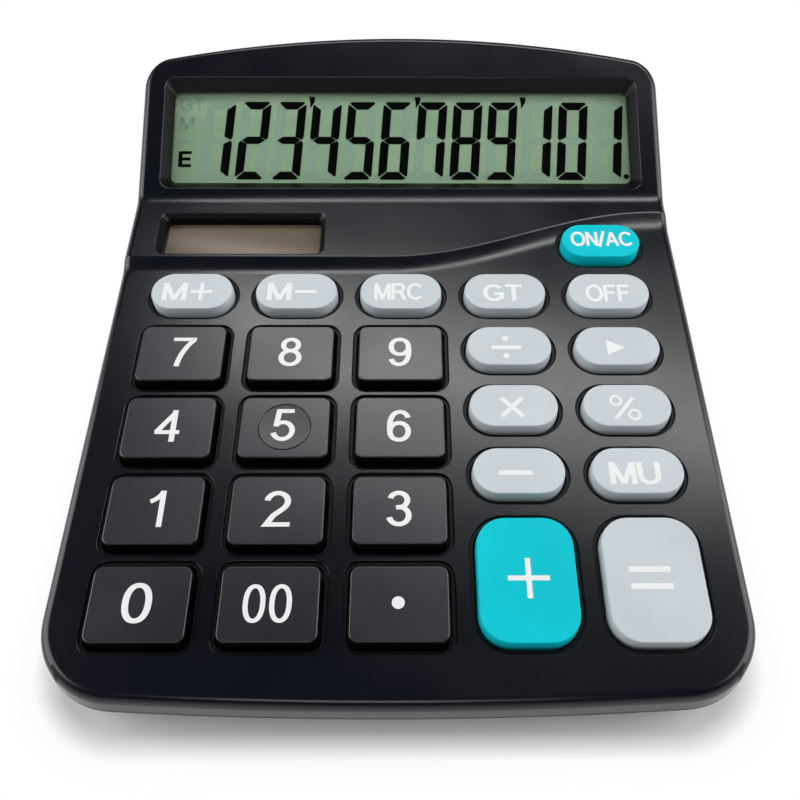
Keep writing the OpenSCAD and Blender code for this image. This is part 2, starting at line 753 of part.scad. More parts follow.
// Lip of the rear case that stands up inside the front case's walls
tongue_t = 1;
tongue_h = 1.3;
tongue_gap = 0.15;
// Upright wall between two insets of the outline and two depths below the keypad
module rim(outer, inner, foot, top) {
    difference() {
        intersection() {
            linear_extrude(body_d) difference() {
                polygon([for (p = outline(outer)) [p[0], p[1]]]);
                polygon([for (p = outline(inner)) [p[0], p[1]]]);
            }
            above(foot);
        }
        above(top);
    }
}

module tongue() {
    inset = wall + wall_lean + tongue_gap;
    difference() {
        union() {
            rim(inset, inset + tongue_t, side_h + tongue_h, side_h - tongue_h);
            rim(wall, inset + tongue_t, side_h + tongue_h, side_h);
        }
        for (p = CASE_SCREWS) boss(p, boss_r + boss_gap);
    }
}

module battery_box() {
    difference() {
        translate([-box_x, aa_y - room_y - box_wall, floor_z - overlap])
            cube([2 * box_x, 2 * (room_y + box_wall), room_top + box_wall - floor_z + overlap]);
        // Each lead leaves through a hole behind its contact plate
        translate([-body_w / 2, aa_y, lead_z]) rotate([0, 90, 0])
            cylinder(r = lead_r + lead_gap, h = body_w, $fn = 24);
    }
}

// Half the floor's thickness carries the door's tongues; the other half is flush below
ledge_z = foot_h + floor_t / 2;
ledge_x = room_x - door_ledge;
lip_y = rear_y - rear_drop(room_x) - parting_step - wall;

module battery_room() {
    translate([-room_x, aa_y - room_y, ledge_z])
        cube([2 * room_x, 2 * room_y, room_top - ledge_z]);
    // The door's own way out to the back
    translate([-ledge_x, aa_y - room_y, 0])
        cube([2 * ledge_x, body_d, foot_h + floor_t]);
    translate([-room_x, aa_y - room_y, ledge_z])
        cube([2 * room_x, body_d, floor_t / 2 + door_gap]);
    translate([-room_x, lip_y - door_gap, 0])
        cube([2 * room_x, body_d, foot_h + door_lip + door_gap]);
}

module rear_case() {
    color(case_colour) difference() {
        union() {
            difference() {
                rear_block();
                rear_room();
            }
            tongue();
            battery_box();
            for (p = CASE_SCREWS) difference() {
                translate([p[0], p[1], foot_h + overlap])
                    cylinder(r = post_r, h = body_d, $fn = 40);
                above(joint_depth(p));
            }
        }
        battery_room();
        for (f = FEET) translate(foot_place(f))
            cylinder(r = foot_r + foot_gap, h = foot_h + foot_seat, $fn = 48);
        for (p = CASE_SCREWS) translate([p[0], p[1], 0]) {
            cylinder(r = screw_r + screw_gap, h = body_d, $fn = 32);
            cylinder(r = screw_head_r + screw_gap, h = screw_seat(p), $fn = 40);
        }
    }
}

module battery_door() {
    front = aa_y - room_y + door_gap;
    color(case_colour) difference() {
        union() {
            translate([-ledge_x + door_gap, front, foot_h])
                cube([2 * (ledge_x - door_gap), lip_y - front + overlap, floor_t]);
            translate([-room_x + door_gap, front, ledge_z])
                cube([2 * (room_x - door_gap), lip_y - front + overlap, floor_t / 2]);
            intersection() {
                rear_block();
                translate([-room_x + door_gap, lip_y, 0])
                    cube([2 * (room_x - door_gap), wall * 4, foot_h + door_lip]);
            }
        }
        // Thumb grip of shallow grooves
        for (i = [-2:2]) translate([-grip_w / 2, (front + lip_y) / 2 + i * grip_pitch, 0])
            cube([grip_w, grip_pitch / 2, foot_h + grip_depth]);
    }
}
grip_w = 18;
grip_pitch = 1.8;
grip_depth = 0.4;

module foot(f) {
    color("#2b2c30") translate(foot_place(f)) {
        cylinder(r1 = foot_r - foot_taper, r2 = foot_r, h = foot_h / 2, $fn = 48);
        translate([0, 0, foot_h / 2])
            cylinder(r = foot_r, h = foot_h / 2 + foot_seat, $fn = 48);
    }
}

module case_screws() {
    color("#b9bcc2") for (p = CASE_SCREWS) translate([p[0], p[1], screw_seat(p)]) {
        translate([0, 0, -screw_head_h]) cylinder(r = screw_head_r, h = screw_head_h, $fn = 32);
        cylinder(r = screw_r, h = boss_foot(p) - screw_seat(p) + screw_grip, $fn = 32);
    }
}

// ---- Display ----

module on_window(depth) {
    on_head() translate([0, window_at + window_h / 2, -depth]) children();
}

pane_r = 1;
glass_r = 0.4;
module display_window() {
    size = pane_size();
    color("#dfe6e4", 0.5) on_window(window_depth + pane_t)
        linear_extrude(pane_t) polygon(rounded(size[0], size[1], pane_r));
}

lcd_depth = window_depth + pane_t + lcd_t;
module lcd_panel() {
    size = lcd_size();
    color("#a9b8a4") on_window(lcd_depth)
        linear_extrude(lcd_t) polygon(rounded(size[0], size[1], glass_r));
}

// Flat ribbon from the back of the display to the board's back edge
ribbon_gap = 3;
ribbon_w = -2 * (solar_x + solar_lead_x + ribbon_gap);
ribbon_t = 0.2;
ribbon_lap = 3;
module lcd_ribbon() {
    lower = window_at + window_h / 2 - lcd_size()[1] / 2;
    depth = -lcd_depth - ribbon_t / 2;
    start = head_point([0, lower + ribbon_lap, depth]);
    edge = head_point([0, lower, depth]);
    board = board_z + ribbon_t / 2;
    path = [
        [start[1], start[2]],
        [edge[1], edge[2]],
        [board_back + 0.5 * (edge[1] - board_back), board + 0.3 * (edge[2] - board)],
        [board_back, board],
        [board_back - ribbon_lap, board]
    ];
    n = len(path) - 1;
    color("#c8862c") on_keypad() rotate([90, 0, 90])
        translate([0, 0, -ribbon_w / 2]) linear_extrude(ribbon_w) polygon(concat(
            [for (i = [0:n]) path[i] + ribbon_side(path, i)],
            [for (i = [n:-1:0]) path[i] - ribbon_side(path, i)]
        ));
}

// Offset of a ribbon's corner that keeps both stretches beside it at full thickness
function ribbon_side(path, i) = let (
    n = len(path) - 1,
    a = unit(path[max(i, 1)] - path[max(i, 1) - 1]),
    b = unit(path[min(i + 1, n)] - path[min(i, n - 1)]),
    m = unit([-a[1] - b[1], a[0] + b[0]])
) m * (ribbon_t / 2) / (m * [-a[1], a[0]]);

// ---- Solar cell ----

module solar_cell() {
    size = cell_size();
    color("#4a3d33") on_keypad()
        translate([solar_x, solar_y, step_h - solar_depth - cell_t])
            linear_extrude(cell_t) polygon(rounded(size[0], size[1], glass_r));
}

solar_lead_r = 0.4;
// Distance of the leads' ends from the board's back edge
lead_end = 1.3;
module solar_leads() {
    top = step_h - solar_depth - cell_t;
    sag = (top - board_z) / 2;
    color("#c23b32") on_keypad() for (x = [-1, 1] * solar_lead_x) wire(lead([
        [solar_x + x, solar_y + lead_end, top],
        [solar_x + x, solar_y + lead_end, top - sag],
        [solar_x + x, board_back - lead_end, board_z + sag],
        [solar_x + x, board_back - lead_end, board_z]
    ]), [1, 0, 0], solar_lead_r);
}

// ---- Board and dome sheet ----

board_w = body_w - 2 * board_side;
board_front = home_at - board_front_gap;
board_back = bend_y - board_back_gap;
module main_board() {
    color("#2f6b45") on_keypad() translate([0, 0, board_z - board_t])
        linear_extrude(board_t) difference() {
            translate([-board_w / 2, -board_front]) square([board_w, board_front + board_back]);
            for (p = BOARD_SCREWS) translate(p) circle(board_screw_r + screw_gap, $fn = 24);
        }
}

mat_margin = 2;
module keypad_mat() {
    half = 2 * col_pitch + dome_r + overlap;
    back = board_back - mat_margin - ribbon_lap / 2;
    color("#8d9296") on_keypad() difference() {
        union() {
            translate([-half, -board_front + mat_margin, board_z])
                cube([2 * half, board_front + back - mat_margin, mat_t]);
            for (k = KEYS) translate([k[1] * col_pitch, k[2], mat_z])
                cylinder(r1 = dome_r, r2 = plunger_r + dome_wall / 2, h = dome_h, $fn = 32);
        }
        for (k = KEYS) translate([k[1] * col_pitch, k[2], board_z - overlap]) {
            cylinder(r = dome_r - dome_wall, h = overlap + mat_t / 2, $fn = 32);
            translate([0, 0, overlap])
                cylinder(r1 = dome_r - dome_wall, r2 = plunger_r - dome_wall / 2,
                    h = mat_t + key_travel, $fn = 32);
        }
        for (p = BOARD_SCREWS) translate([p[0], p[1], board_z - past])
            cylinder(r = board_boss_r + screw_gap, h = mat_t + 2 * past, $fn = 32);
    }
}

module board_screws() {
    color("#b9bcc2") on_keypad() for (p = BOARD_SCREWS)
        translate([p[0], p[1], board_z - board_t]) {
            translate([0, 0, -board_head_h])
                cylinder(r = board_head_r, h = board_head_h, $fn = 32);
            cylinder(r = board_screw_r, h = board_t + board_grip, $fn = 24);
        }
}

chip_r = 5;
chip_h = 1.1;
module controller_chip() {
    color("#1a1a1c") on_keypad() translate([0, (digit_row(1) + pill_row(1)) / 2, board_z - board_t])
        rotate_extrude($fn = 48) polygon(concat([[0, 0]],
            [for (a = [0:15:90]) [chip_r * cos(a), -chip_h * sin(a)]]));
}

capacitor_r = 2.5;
capacitor_l = 7;
capacitor_in = 8;
module capacitor() {
    color("#27355c") on_keypad()
        translate([-col_pitch, board_back - capacitor_in, board_z - board_t - capacitor_r])
            rotate([0, 90, 0]) cylinder(r = capacitor_r, h = capacitor_l, $fn = 48);
}

// ---- Battery ----

module battery_cell() {
    color("#c9a43a") translate([can_end, aa_y, aa_z]) rotate([0, 90, 0]) {
        cylinder(r = aa_d / 2, h = aa_l, $fn = 64);
        cylinder(r = aa_button_d / 2, h = aa_l + aa_button_h, $fn = 32);
    }
}

contact_w = 11;
module contact_plate(x) {
    translate([x, aa_y - contact_w / 2, aa_z - contact_w / 2])
        cube([contact_t, contact_w, contact_w]);
}

module battery_plate() {
    color("#cfd2d6") contact_plate(button_x);
}

spring_turns = 3;
spring_wire = 0.4;
spring_wide = 4.6;
spring_narrow = 2.8;
module battery_spring() {
    steps = spring_turns * 12;
    length = spring_l - 2 * spring_wire;
    color("#cfd2d6") {
        contact_plate(-room_x);
        translate([-button_x + spring_wire, aa_y, aa_z]) loft([for (i = [0:steps])
            let (a = 30 * i, r = spring_wide + (spring_narrow - spring_wide) * i / steps,
                out = [0, cos(a), sin(a)])
            [for (j = [0:5]) [length * i / steps, 0, 0] + r * out
                + spring_wire * (cos(60 * j) * out - sin(60 * j) * [1, 0, 0])]]);
    }
}

// How far each lead runs out sideways, how high it stands over the board, and where it ends
battery_lead_out = 16;
battery_lead_rise = 8;
battery_lead_in = 12;
module battery_leads() {
    x = board_w / 2 - battery_lead_in;
    far = keypad_point([x, board_back - lead_end, board_z]);
    up = keypad_point([x, board_back - lead_end, board_z + battery_lead_rise]);
    for (s = [-1, 1]) color(s > 0 ? "#c23b32" : "#1b1b1d") wire(lead([
        [s * room_x, aa_y, lead_z],
        [s * (room_x + battery_lead_out), aa_y, lead_z],
        [s * up[0], up[1], up[2]],
        [s * far[0], far[1], far[2]]
    ]), [s, 1, -1], lead_r);
}

front_case();
rear_case();
display_window();
lcd_panel();
lcd_ribbon();
solar_cell();
solar_leads();
keypad_mat();
main_board();
controller_chip();
capacitor();
board_screws();
battery_cell();
battery_spring();
battery_plate();
battery_leads();
battery_door();
case_screws();
foot(FEET[0]);  // front_left_foot
foot(FEET[1]);  // front_right_foot
foot(FEET[2]);  // rear_left_foot
foot(FEET[3]);  // rear_right_foot
for (k = KEYS) key(k);
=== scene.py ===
import math

import bmesh
import bpy
from mathutils import Matrix, Vector


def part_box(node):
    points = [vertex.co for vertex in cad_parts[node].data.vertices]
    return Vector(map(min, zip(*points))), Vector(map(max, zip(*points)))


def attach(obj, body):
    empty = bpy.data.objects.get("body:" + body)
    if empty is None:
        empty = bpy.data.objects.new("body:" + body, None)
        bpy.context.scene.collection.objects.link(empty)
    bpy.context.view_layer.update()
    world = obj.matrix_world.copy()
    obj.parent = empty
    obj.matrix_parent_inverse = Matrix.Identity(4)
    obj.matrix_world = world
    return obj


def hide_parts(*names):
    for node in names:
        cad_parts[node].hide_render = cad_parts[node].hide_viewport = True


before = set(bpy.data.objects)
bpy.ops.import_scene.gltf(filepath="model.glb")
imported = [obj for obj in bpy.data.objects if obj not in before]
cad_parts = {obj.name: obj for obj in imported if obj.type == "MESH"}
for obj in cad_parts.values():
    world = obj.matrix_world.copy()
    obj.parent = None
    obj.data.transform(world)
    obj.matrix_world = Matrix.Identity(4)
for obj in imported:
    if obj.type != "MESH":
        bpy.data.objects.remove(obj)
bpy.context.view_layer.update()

MM = 0.001
sin, cos, tan, pi = math.sin, math.cos, math.tan, math.pi

# ---- the object's sizes, in mm ----
BODY_W, BODY_D, FRONT_H = 118.0, 145.0, 11.7
TILT, HEAD_TILT = math.radians(5.5), math.radians(20.9)
HEAD_SLOPE = TILT + HEAD_TILT
SIDE_H, WALL, PLATE = 4.6, 2.0, 2.2
FRONT_R, REAR_R, FRONT_BOW, REAR_BOW = 13.5, 7.0, 820.0, 300.0
EDGE_R, LEAN = 1.8, 0.2
STEP_H, BEND_R, HEAD_D = 0.9, 8.0, 36.6
SIDE_MARGIN, FRONT_MARGIN, POWER_GAP, MEMORY_GAP = 16.4, 16.5, 13.42, 4.37
DIGIT_GAP_X, DIGIT_GAP_Y, PILL_GAP_X, PILL_GAP_Y = 4.95, 3.85, 4.85, 4.6
PILL_LESS, BIG_REACH = 3.7, 0.28
BEND_AT = (BODY_D - HEAD_D) / cos(TILT)
KEYPAD_L = BEND_AT - FRONT_MARGIN - POWER_GAP
DIGIT_L = (KEYPAD_L - 3 * DIGIT_GAP_Y - MEMORY_GAP - PILL_GAP_Y + 1.5 * PILL_LESS) / 5
PILL_L = DIGIT_L - PILL_LESS
DIGIT_PITCH, PILL_PITCH = DIGIT_L + DIGIT_GAP_Y, PILL_L + PILL_GAP_Y
HOME_AT = FRONT_MARGIN + 2 * DIGIT_PITCH
FRONT_Y, REAR_Y = -BODY_D / 2, BODY_D / 2
HOME_Y = FRONT_Y + HOME_AT * cos(TILT)
HOME_Z = FRONT_H + HOME_AT * sin(TILT)
BEND_Y = BEND_AT - HOME_AT
POWER_ROW = BEND_Y - POWER_GAP
COL = (BODY_W / 2 - SIDE_MARGIN) / 2

# The raised panel's S-shaped edge, from the left to the right
CREST_AT, SWOOSH_SIDE = 16.95, 3
CREST = BEND_Y - CREST_AT
SWOOSH_RISE, SWOOSH_X0, SWOOSH_X1 = 13.05, -3.0, BODY_W / 2 - SWOOSH_SIDE
RAMP_L, RAMP_R = 3.2, 4.0

# Width, length and corner radius of the openings at the surface
WINDOW_SIDE, WINDOW_AT, WINDOW_DEPTH, WINDOW_LEAN = 5.2, 2.6, 2.6, (1.7, 2.3)
WINDOW = (BODY_W - 2 * WINDOW_SIDE, 27.1, 2.3)
HEAD_MID = WINDOW_AT + WINDOW[1] / 2
LCD_DEPTH = WINDOW_DEPTH + 1.0
SOLAR = (35.9, 12.2, 2.0)
SOLAR_SIDE, SOLAR_AT, SOLAR_DEPTH, SOLAR_BEVEL = 24.65, 10.2, 3.0, 1.1
SOLAR_X, SOLAR_Y = SOLAR_SIDE - BODY_W / 2, BEND_Y - SOLAR_AT
GAP, LEDGE_W, LEDGE_H = 0.42, 0.7, 0.5

# Key kinds: top width and length, corner radius, rise, lean of the sides, rounding of the edge
DIGIT = dict(w=COL - DIGIT_GAP_X, l=DIGIT_L, r=1.5, rise=1.7, lean=(0.06, 0.36), edge=0.28)
PILL = dict(w=COL - PILL_GAP_X, l=PILL_L, r=PILL_L / 2 - 0.03, rise=1.9, lean=(0.16, 0.12), edge=0.26)
POWER = dict(PILL, rise=2.1)
BIG_BACK = POWER_ROW - 4 * PILL_PITCH - PILL_L / 2 - PILL_GAP_Y
BIG_FRONT = -2 * DIGIT_PITCH - DIGIT_L / 2 - BIG_REACH
BIG = dict(PILL, l=BIG_BACK - BIG_FRONT, r=5.0)
BIG_ROW = (BIG_BACK + BIG_FRONT) / 2


def digit_row(i):
    return i * DIGIT_PITCH


def pill_row(i):
    return POWER_ROW - i * PILL_PITCH


def keys_at(names, col, row_y, kind, colour):
    """Keys side by side from one column on: column from the middle, row, kind and colour of each."""
    return {"key_" + name: (col + i, row_y, kind, colour) for i, name in enumerate(names.split())}


KEYS = {
    **keys_at("on_ac", 2, pill_row(0), POWER, "teal"),
    **keys_at("m_plus m_minus mrc gt off", -2, pill_row(1), PILL, "grey"),
    **keys_at("7 8 9", -2, digit_row(1), DIGIT, "dark"),
    **keys_at("divide backspace", 1, pill_row(2), PILL, "grey"),
    **keys_at("4 5 6", -2, digit_row(0), DIGIT, "dark"),
    **keys_at("multiply percent", 1, pill_row(3), PILL, "grey"),
    **keys_at("1 2 3", -2, digit_row(-1), DIGIT, "dark"),
    **keys_at("minus mu", 1, pill_row(4), PILL, "grey"),
    **keys_at("0 00 point", -2, digit_row(-2), DIGIT, "dark"),
    **keys_at("plus", 1, BIG_ROW, BIG, "teal"),
    **keys_at("equals", 2, BIG_ROW, BIG, "grey"),
}


# ---- frames and shared shapes ----
def keypad(x, y, z):
    """A place on the keypad, from the home row and square to it, as a place on the table, in mm."""
    return (x, HOME_Y + y * cos(TILT) - z * sin(TILT), HOME_Z + y * sin(TILT) + z * cos(TILT))


def head(x, s, up):
    """A place on the sloping display panel: s up the slope from the bend, `up` above it."""
    return keypad(x, BEND_Y + s * cos(HEAD_TILT) - up * sin(HEAD_TILT),
                  STEP_H + s * sin(HEAD_TILT) + up * cos(HEAD_TILT))


def arc(c, r, a0, a1, n):
    turns = [a0 + (a1 - a0) * i / n for i in range(n + 1)]
    return [(c[0] + r * cos(a), c[1] + r * sin(a)) for a in turns]


def rounded(w, l, r, n=9):
    r = min(max(r, 0.01), w / 2 - 0.01, l / 2 - 0.01)
    out = []
    for q, (sx, sy) in enumerate(((1, 1), (-1, 1), (-1, -1), (1, -1))):
        out += arc((sx * (w / 2 - r), sy * (l / 2 - r)), r, q * pi / 2, (q + 1) * pi / 2, n)
    return out


def loft(rings, cap_top=True):
    """Vertices and faces of a skin through rings of equal length, lowest first."""
    n = len(rings[0])
    verts = [p for ring in rings for p in ring]
    faces = [(j * n + i, j * n + (i + 1) % n, (j + 1) * n + (i + 1) % n, (j + 1) * n + i)
             for j in range(len(rings) - 1) for i in range(n)]
    faces.append(tuple(reversed(range(n))))
    if cap_top:
        faces.append(tuple((len(rings) - 1) * n + i for i in range(n)))
    return verts, faces


def make(name, verts, faces, materials, index=None):
    """A mesh object from vertices in mm."""
    mesh = bpy.data.meshes.new(name)
    mesh.from_pydata([tuple(c * MM for c in v) for v in verts], [], faces)
    for m in materials:
        mesh.materials.append(m)
    if index:
        mesh.polygons.foreach_set("material_index", index)
    obj = bpy.data.objects.new(name, mesh)
    bpy.context.scene.collection.objects.link(obj)
    return obj


def smooth(mesh, angle):
    """Smooth shading; with an angle, only between faces that meet at less than it."""
    mesh.polygons.foreach_set("use_smooth", [True] * len(mesh.polygons))
    if angle:
        mesh.set_sharp_from_angle(angle=math.radians(angle))


def shade(obj, angle=None):
    """Smooth shading in which large faces count for more."""
    smooth(obj.data, angle)
    obj.modifiers.new("weighted", "WEIGHTED_NORMAL").keep_sharp = True


# Cosine between a face and its panel, above which the face counts as lying on it
FLAT = 0.99998


def panel_normals(obj, axes, angle):
    """Smooth shading that keeps the flat panels flat: corners on a panel take its own normal."""
    mesh = obj.data
    smooth(mesh, angle)
    panel = {}
    for face in mesh.polygons:
        for axis in axes:
            if face.normal.dot(axis) > FLAT:
                panel.update((vertex, axis) for vertex in face.vertices)
    normals = [corner.vector.copy() for corner in mesh.corner_normals]
    for face in mesh.polygons:
        for loop, vertex in zip(face.loop_indices, face.vertices):
            axis = panel.get(vertex)
            if axis is not None and face.normal.dot(axis) > cos(math.radians(angle)):
                normals[loop] = axis
    mesh.normals_split_custom_set(normals)


def combine(obj, other, operation):
    """Join the other object to this one or cut it away, and remove it."""
    mod = obj.modifiers.new("combine", "BOOLEAN")
    mod.operation, mod.solver, mod.object = operation, "EXACT", other
    bake(obj)
    bpy.data.objects.remove(other)


def bake(obj):
    """Turn the object's modifiers into its mesh."""
    depsgraph = bpy.context.evaluated_depsgraph_get()
    mesh = bpy.data.meshes.new_from_object(obj.evaluated_get(depsgraph))
    obj.modifiers.clear()
    old = obj.data
    obj.data = mesh
    bpy.data.meshes.remove(old)


def edit(mesh, change):
    """Run a change on a mesh's editable form."""
    bm = bmesh.new()
    bm.from_mesh(mesh)
    change(bm)
    bm.to_mesh(mesh)
    bm.free()


def gather(parts):
    """One list of vertices and faces from several."""
    verts, faces = [], []
    for v, f in parts:
        k = len(verts)
        verts += v
        faces += [tuple(i + k for i in t) for t in f]
    return verts, faces


# ---- shader nodes ----
class Tree:
    """The node tree of a material or a world."""

    def __init__(self, owner):
        owner.use_nodes = True
        self.tree = owner.node_tree

    def feed(self, socket, value):
        """Give a socket another node's output, a colour or a number."""
        if hasattr(value, "is_output"):
            self.tree.links.new(value, socket)
        else:
            socket.default_value = value

    def node(self, kind, **props):
        node = self.tree.nodes.new("ShaderNode" + kind)
        for name, value in props.items():
            setattr(node, name, value)
        return node

    def math(self, operation, a, b=0.0):
        node = self.node("Math", operation=operation)
        self.feed(node.inputs[0], a)
        self.feed(node.inputs[1], b)
        return node.outputs[0]

    def range(self, value, *limits):
        """Map a value from between the first two limits to between the last two."""
        node = self.node("MapRange")
        for socket, number in zip(node.inputs[1:5], limits):
            socket.default_value = number
        self.feed(node.inputs[0], value)
        return node.outputs[0]

    def ramp(self, value, stops):
        """Colours at places from 0 to 1."""
        node = self.node("ValToRGB")
        for _ in stops[2:]:
            node.color_ramp.elements.new(0.5)
        for element, (position, color) in zip(node.color_ramp.elements, stops):
            element.position = position
            element.color = (*color, 1)
        self.feed(node.inputs["Fac"], value)
        return node.outputs["Color"]

    def coords(self, kind="Object"):
        return self.node("TexCoord").outputs[kind]

    def xyz(self, kind="Object"):
        node = self.node("SeparateXYZ")
        self.feed(node.inputs[0], self.coords(kind))
        return node.outputs


class Nodes(Tree):
    """The node tree of one material round its Principled shader."""

    def __init__(self, name, color, roughness, specular=0.5, **sockets):
        self.mat = bpy.data.materials.new(name)
        super().__init__(self.mat)
        self.mat.diffuse_color = (*color, 1)
        self.bsdf = self.tree.nodes["Principled BSDF"]
        self.set("Base Color", (*color, 1))
        self.set("Roughness", roughness)
        self.set("Specular IOR Level", specular)
        for socket, value in sockets.items():
            self.set(socket.replace("_", " "), value)

    def set(self, socket, value):
        self.feed(self.bsdf.inputs[socket], value)

    def noise(self, scale, detail=2.0, rough=0.5, stretch=None):
        place = self.coords()
        if stretch:
            mapping = self.node("Mapping")
            self.feed(mapping.inputs["Scale"], stretch)
            self.feed(mapping.inputs["Vector"], place)
            place = mapping.outputs["Vector"]
        node = self.node("TexNoise")
        for socket, value in (("Vector", place), ("Scale", scale), ("Detail", detail), ("Roughness", rough)):
            self.feed(node.inputs[socket], value)
        return node.outputs["Fac"]

    def bump(self, height, distance):
        node = self.node("Bump")
        self.feed(node.inputs["Strength"], 1.0)
        self.feed(node.inputs["Distance"], distance)
        self.feed(node.inputs["Height"], height)
        self.set("Normal", node.outputs["Normal"])

    def mix(self, share, a, b, blend="MIX"):
        node = self.node("Mix", data_type="RGBA", blend_type=blend)
        self.feed(node.inputs[0], share)
        for socket, color in ((node.inputs[6], a), (node.inputs[7], b)):
            self.feed(socket, color if hasattr(color, "is_output") else (*color, 1))
        return node.outputs[2]

    def spread(self, noise, low=0.3, high=0.7):
        """The middle of a noise stretched to reach from 0 to 1."""
        return self.range(noise, low, high, 0, 1)

    def wander(self, noise, low, high):
        """A roughness that drifts between two values with a noise."""
        self.set("Roughness", self.range(noise, 0.3, 0.7, low, high))

    def speckle(self, noise, low, high):
        """A base colour that drifts between two tones with a noise."""
        self.set("Base Color", self.ramp(noise, [(0.3, low), (0.7, high)]))


def scaled(color, factor, lift=0.0):
    return tuple(min(1, c * factor + lift) for c in color)


# ---- materials; the grains' heights are in metres ----
WHITE = (1.0, 1.0, 1.0)


def spark_plastic(name, color, roughness, specular, grain, lift):
    """Moulded plastic with a fine spark-eroded grain and a slight mottle."""
    m = Nodes(name, color, roughness, specular)
    fine = m.noise(3400, 2.0, 0.6)
    coarse = m.noise(900, 1.0)
    cloud = m.noise(38, 3.0, 0.55)
    m.bump(m.math("ADD", m.math("MULTIPLY", fine, 0.6), m.math("MULTIPLY", coarse, 0.4)), grain)
    speck = m.spread(fine, 0.35, 0.68)
    base = m.mix(speck, scaled(color, 0.72), scaled(color, lift, 0.002))
    tint = m.mix(m.spread(cloud, 0.35, 0.65), (0.92, 0.95, 1.0), WHITE)
    m.set("Base Color", m.mix(1.0, base, tint, "MULTIPLY"))
    m.wander(cloud, roughness - 0.03, roughness + 0.04)
    return m.mat


def satin_plastic(name, color, roughness, specular, grain):
    """Smoother key-cap plastic: faint grain, faint colour drift."""
    m = Nodes(name, color, roughness, specular)
    fine = m.noise(2600, 2.0, 0.6)
    cloud = m.noise(60, 3.0)
    m.bump(fine, grain)
    drift = m.spread(cloud, 0.35, 0.65)
    m.set("Base Color", m.mix(drift, scaled(color, 0.95), scaled(color, 1.03)))
    m.wander(fine, roughness - 0.04, roughness + 0.04)
    return m.mat


CASE = spark_plastic("case_plastic", (0.0015, 0.0025, 0.0065),
                     roughness=0.225, specular=0.5, grain=0.000014, lift=1.5)
# Painted shade: a darker, less reflective copy of the case plastic, put on recess walls and the parting band
CASE_PAINTED_SHADE = satin_plastic("case_painted_shade", (0.0018, 0.002, 0.0028),
                          roughness=0.4, specular=0.2, grain=0.000006)
CASE_LOW = spark_plastic("rear_case_plastic", (0.005, 0.0062, 0.0098),
                         roughness=0.45, specular=0.45, grain=0.00003, lift=1.6)
# The number keys' plastic as two copies, painted light and shade: a lighter, bluer, more reflective top and a
# darker, less reflective skirt
DARK_TOP_LIT = spark_plastic("number_key_top", (0.003, 0.0044, 0.0105),
                         roughness=0.33, specular=0.9, grain=0.000016, lift=1.6)
DARK_SIDE_SHADED = satin_plastic("number_key_skirt", (0.002, 0.0022, 0.0028),
                          roughness=0.3, specular=0.2, grain=0.000004)
GREY = satin_plastic("grey_key_plastic", (0.63, 0.69, 0.73),
                     roughness=0.45, specular=0.35, grain=0.000006)
TEAL = satin_plastic("teal_key_plastic", (0.001, 0.63, 0.73),
                     roughness=0.5, specular=0.12, grain=0.000006)


def speckled(name, color, low, high, roughness, specular, noise, grain=None):
    """A surface whose colour drifts between two tones with a fine noise."""
    m = Nodes(name, color, roughness, specular)
    fine = m.noise(*noise)
    m.speckle(fine, low, high)
    if grain:
        m.bump(fine, grain)
    return m.mat


def plain(name, color, roughness):
    return speckled(name, color, scaled(color, 0.88), scaled(color, 1.06), roughness, specular=0.4,
                    noise=(1200,), grain=0.00001)


INK = speckled("legend_ink", (0.93, 0.94, 0.94), (0.91, 0.925, 0.93), (0.96, 0.965, 0.965),
               roughness=0.5, specular=0.3, noise=(2600,), grain=0.000006)
SEGMENT = speckled("display_segment", (0.0015, 0.002, 0.002), (0.001, 0.0014, 0.0014),
                   (0.002, 0.0028, 0.0026), roughness=0.5, specular=0.0, noise=(1500, 1.0))
GHOST = speckled("display_idle_segment", (0.2, 0.31, 0.24), (0.255, 0.41, 0.3), (0.28, 0.435, 0.315),
                 roughness=0.35, specular=0.3, noise=(1500, 1.0))
RUBBER = speckled("foot_rubber", (0.018, 0.018, 0.02), (0.014, 0.014, 0.016), (0.026, 0.026, 0.028),
                  roughness=0.75, specular=0.3, noise=(1800, 3.0, 0.6), grain=0.00004)


def lcd_glass():
    m = Nodes("display_glass", (0.23, 0.34, 0.235), roughness=0.35, specular=0.35)
    cloud = m.noise(30, stretch=(1, 3, 3))
    grain = m.noise(1500, 1.0)
    green = m.mix(m.spread(cloud), (0.33, 0.515, 0.325), (0.375, 0.54, 0.35))
    dust = m.mix(m.spread(grain), (0.93, 0.95, 0.93), WHITE)
    m.set("Base Color", m.mix(1.0, green, dust, "MULTIPLY"))
    m.bump(grain, 0.000003)
    return m.mat


def pane():
    m = Nodes("clear_window", (0.02, 0.025, 0.022), roughness=0.04, Alpha=0.07)
    m.wander(m.noise(12), 0.03, 0.06)
    return m.mat


def solar():
    """Brown cell with fine dark lines between its four strips."""
    strip_w, lines_from = 0.0087, 0.0177
    m = Nodes("solar_glass", (0.17, 0.13, 0.1), roughness=0.25, specular=0.4)
    cloud = m.noise(60, 3.0, stretch=(0.7, 2, 2))
    grain = m.noise(2400, 1.0)
    brown = m.mix(m.spread(cloud), (0.175, 0.125, 0.098), (0.165, 0.135, 0.100))
    strip = m.math("FRACT", m.math("DIVIDE", m.math("ADD", m.xyz()["X"], lines_from), strip_w))
    from_middle = m.math("ABSOLUTE", m.math("SUBTRACT", strip, 0.5))
    lined = m.mix(m.range(from_middle, 0.484, 0.494, 0, 0.12), brown, (0.05, 0.035, 0.03))
    dust = m.mix(m.spread(grain), (0.9, 0.9, 0.9), WHITE)
    m.set("Base Color", m.mix(1.0, lined, dust, "MULTIPLY"))
    m.bump(grain, 0.000002)
    return m.mat


def silicone():
    m = Nodes("silicone_sheet", (0.28, 0.3, 0.31), roughness=0.55, specular=0.35, Subsurface_Weight=0.1)
    m.bump(m.noise(900), 0.00001)
    m.speckle(m.noise(80), (0.26, 0.28, 0.29), (0.31, 0.33, 0.34))
    return m.mat


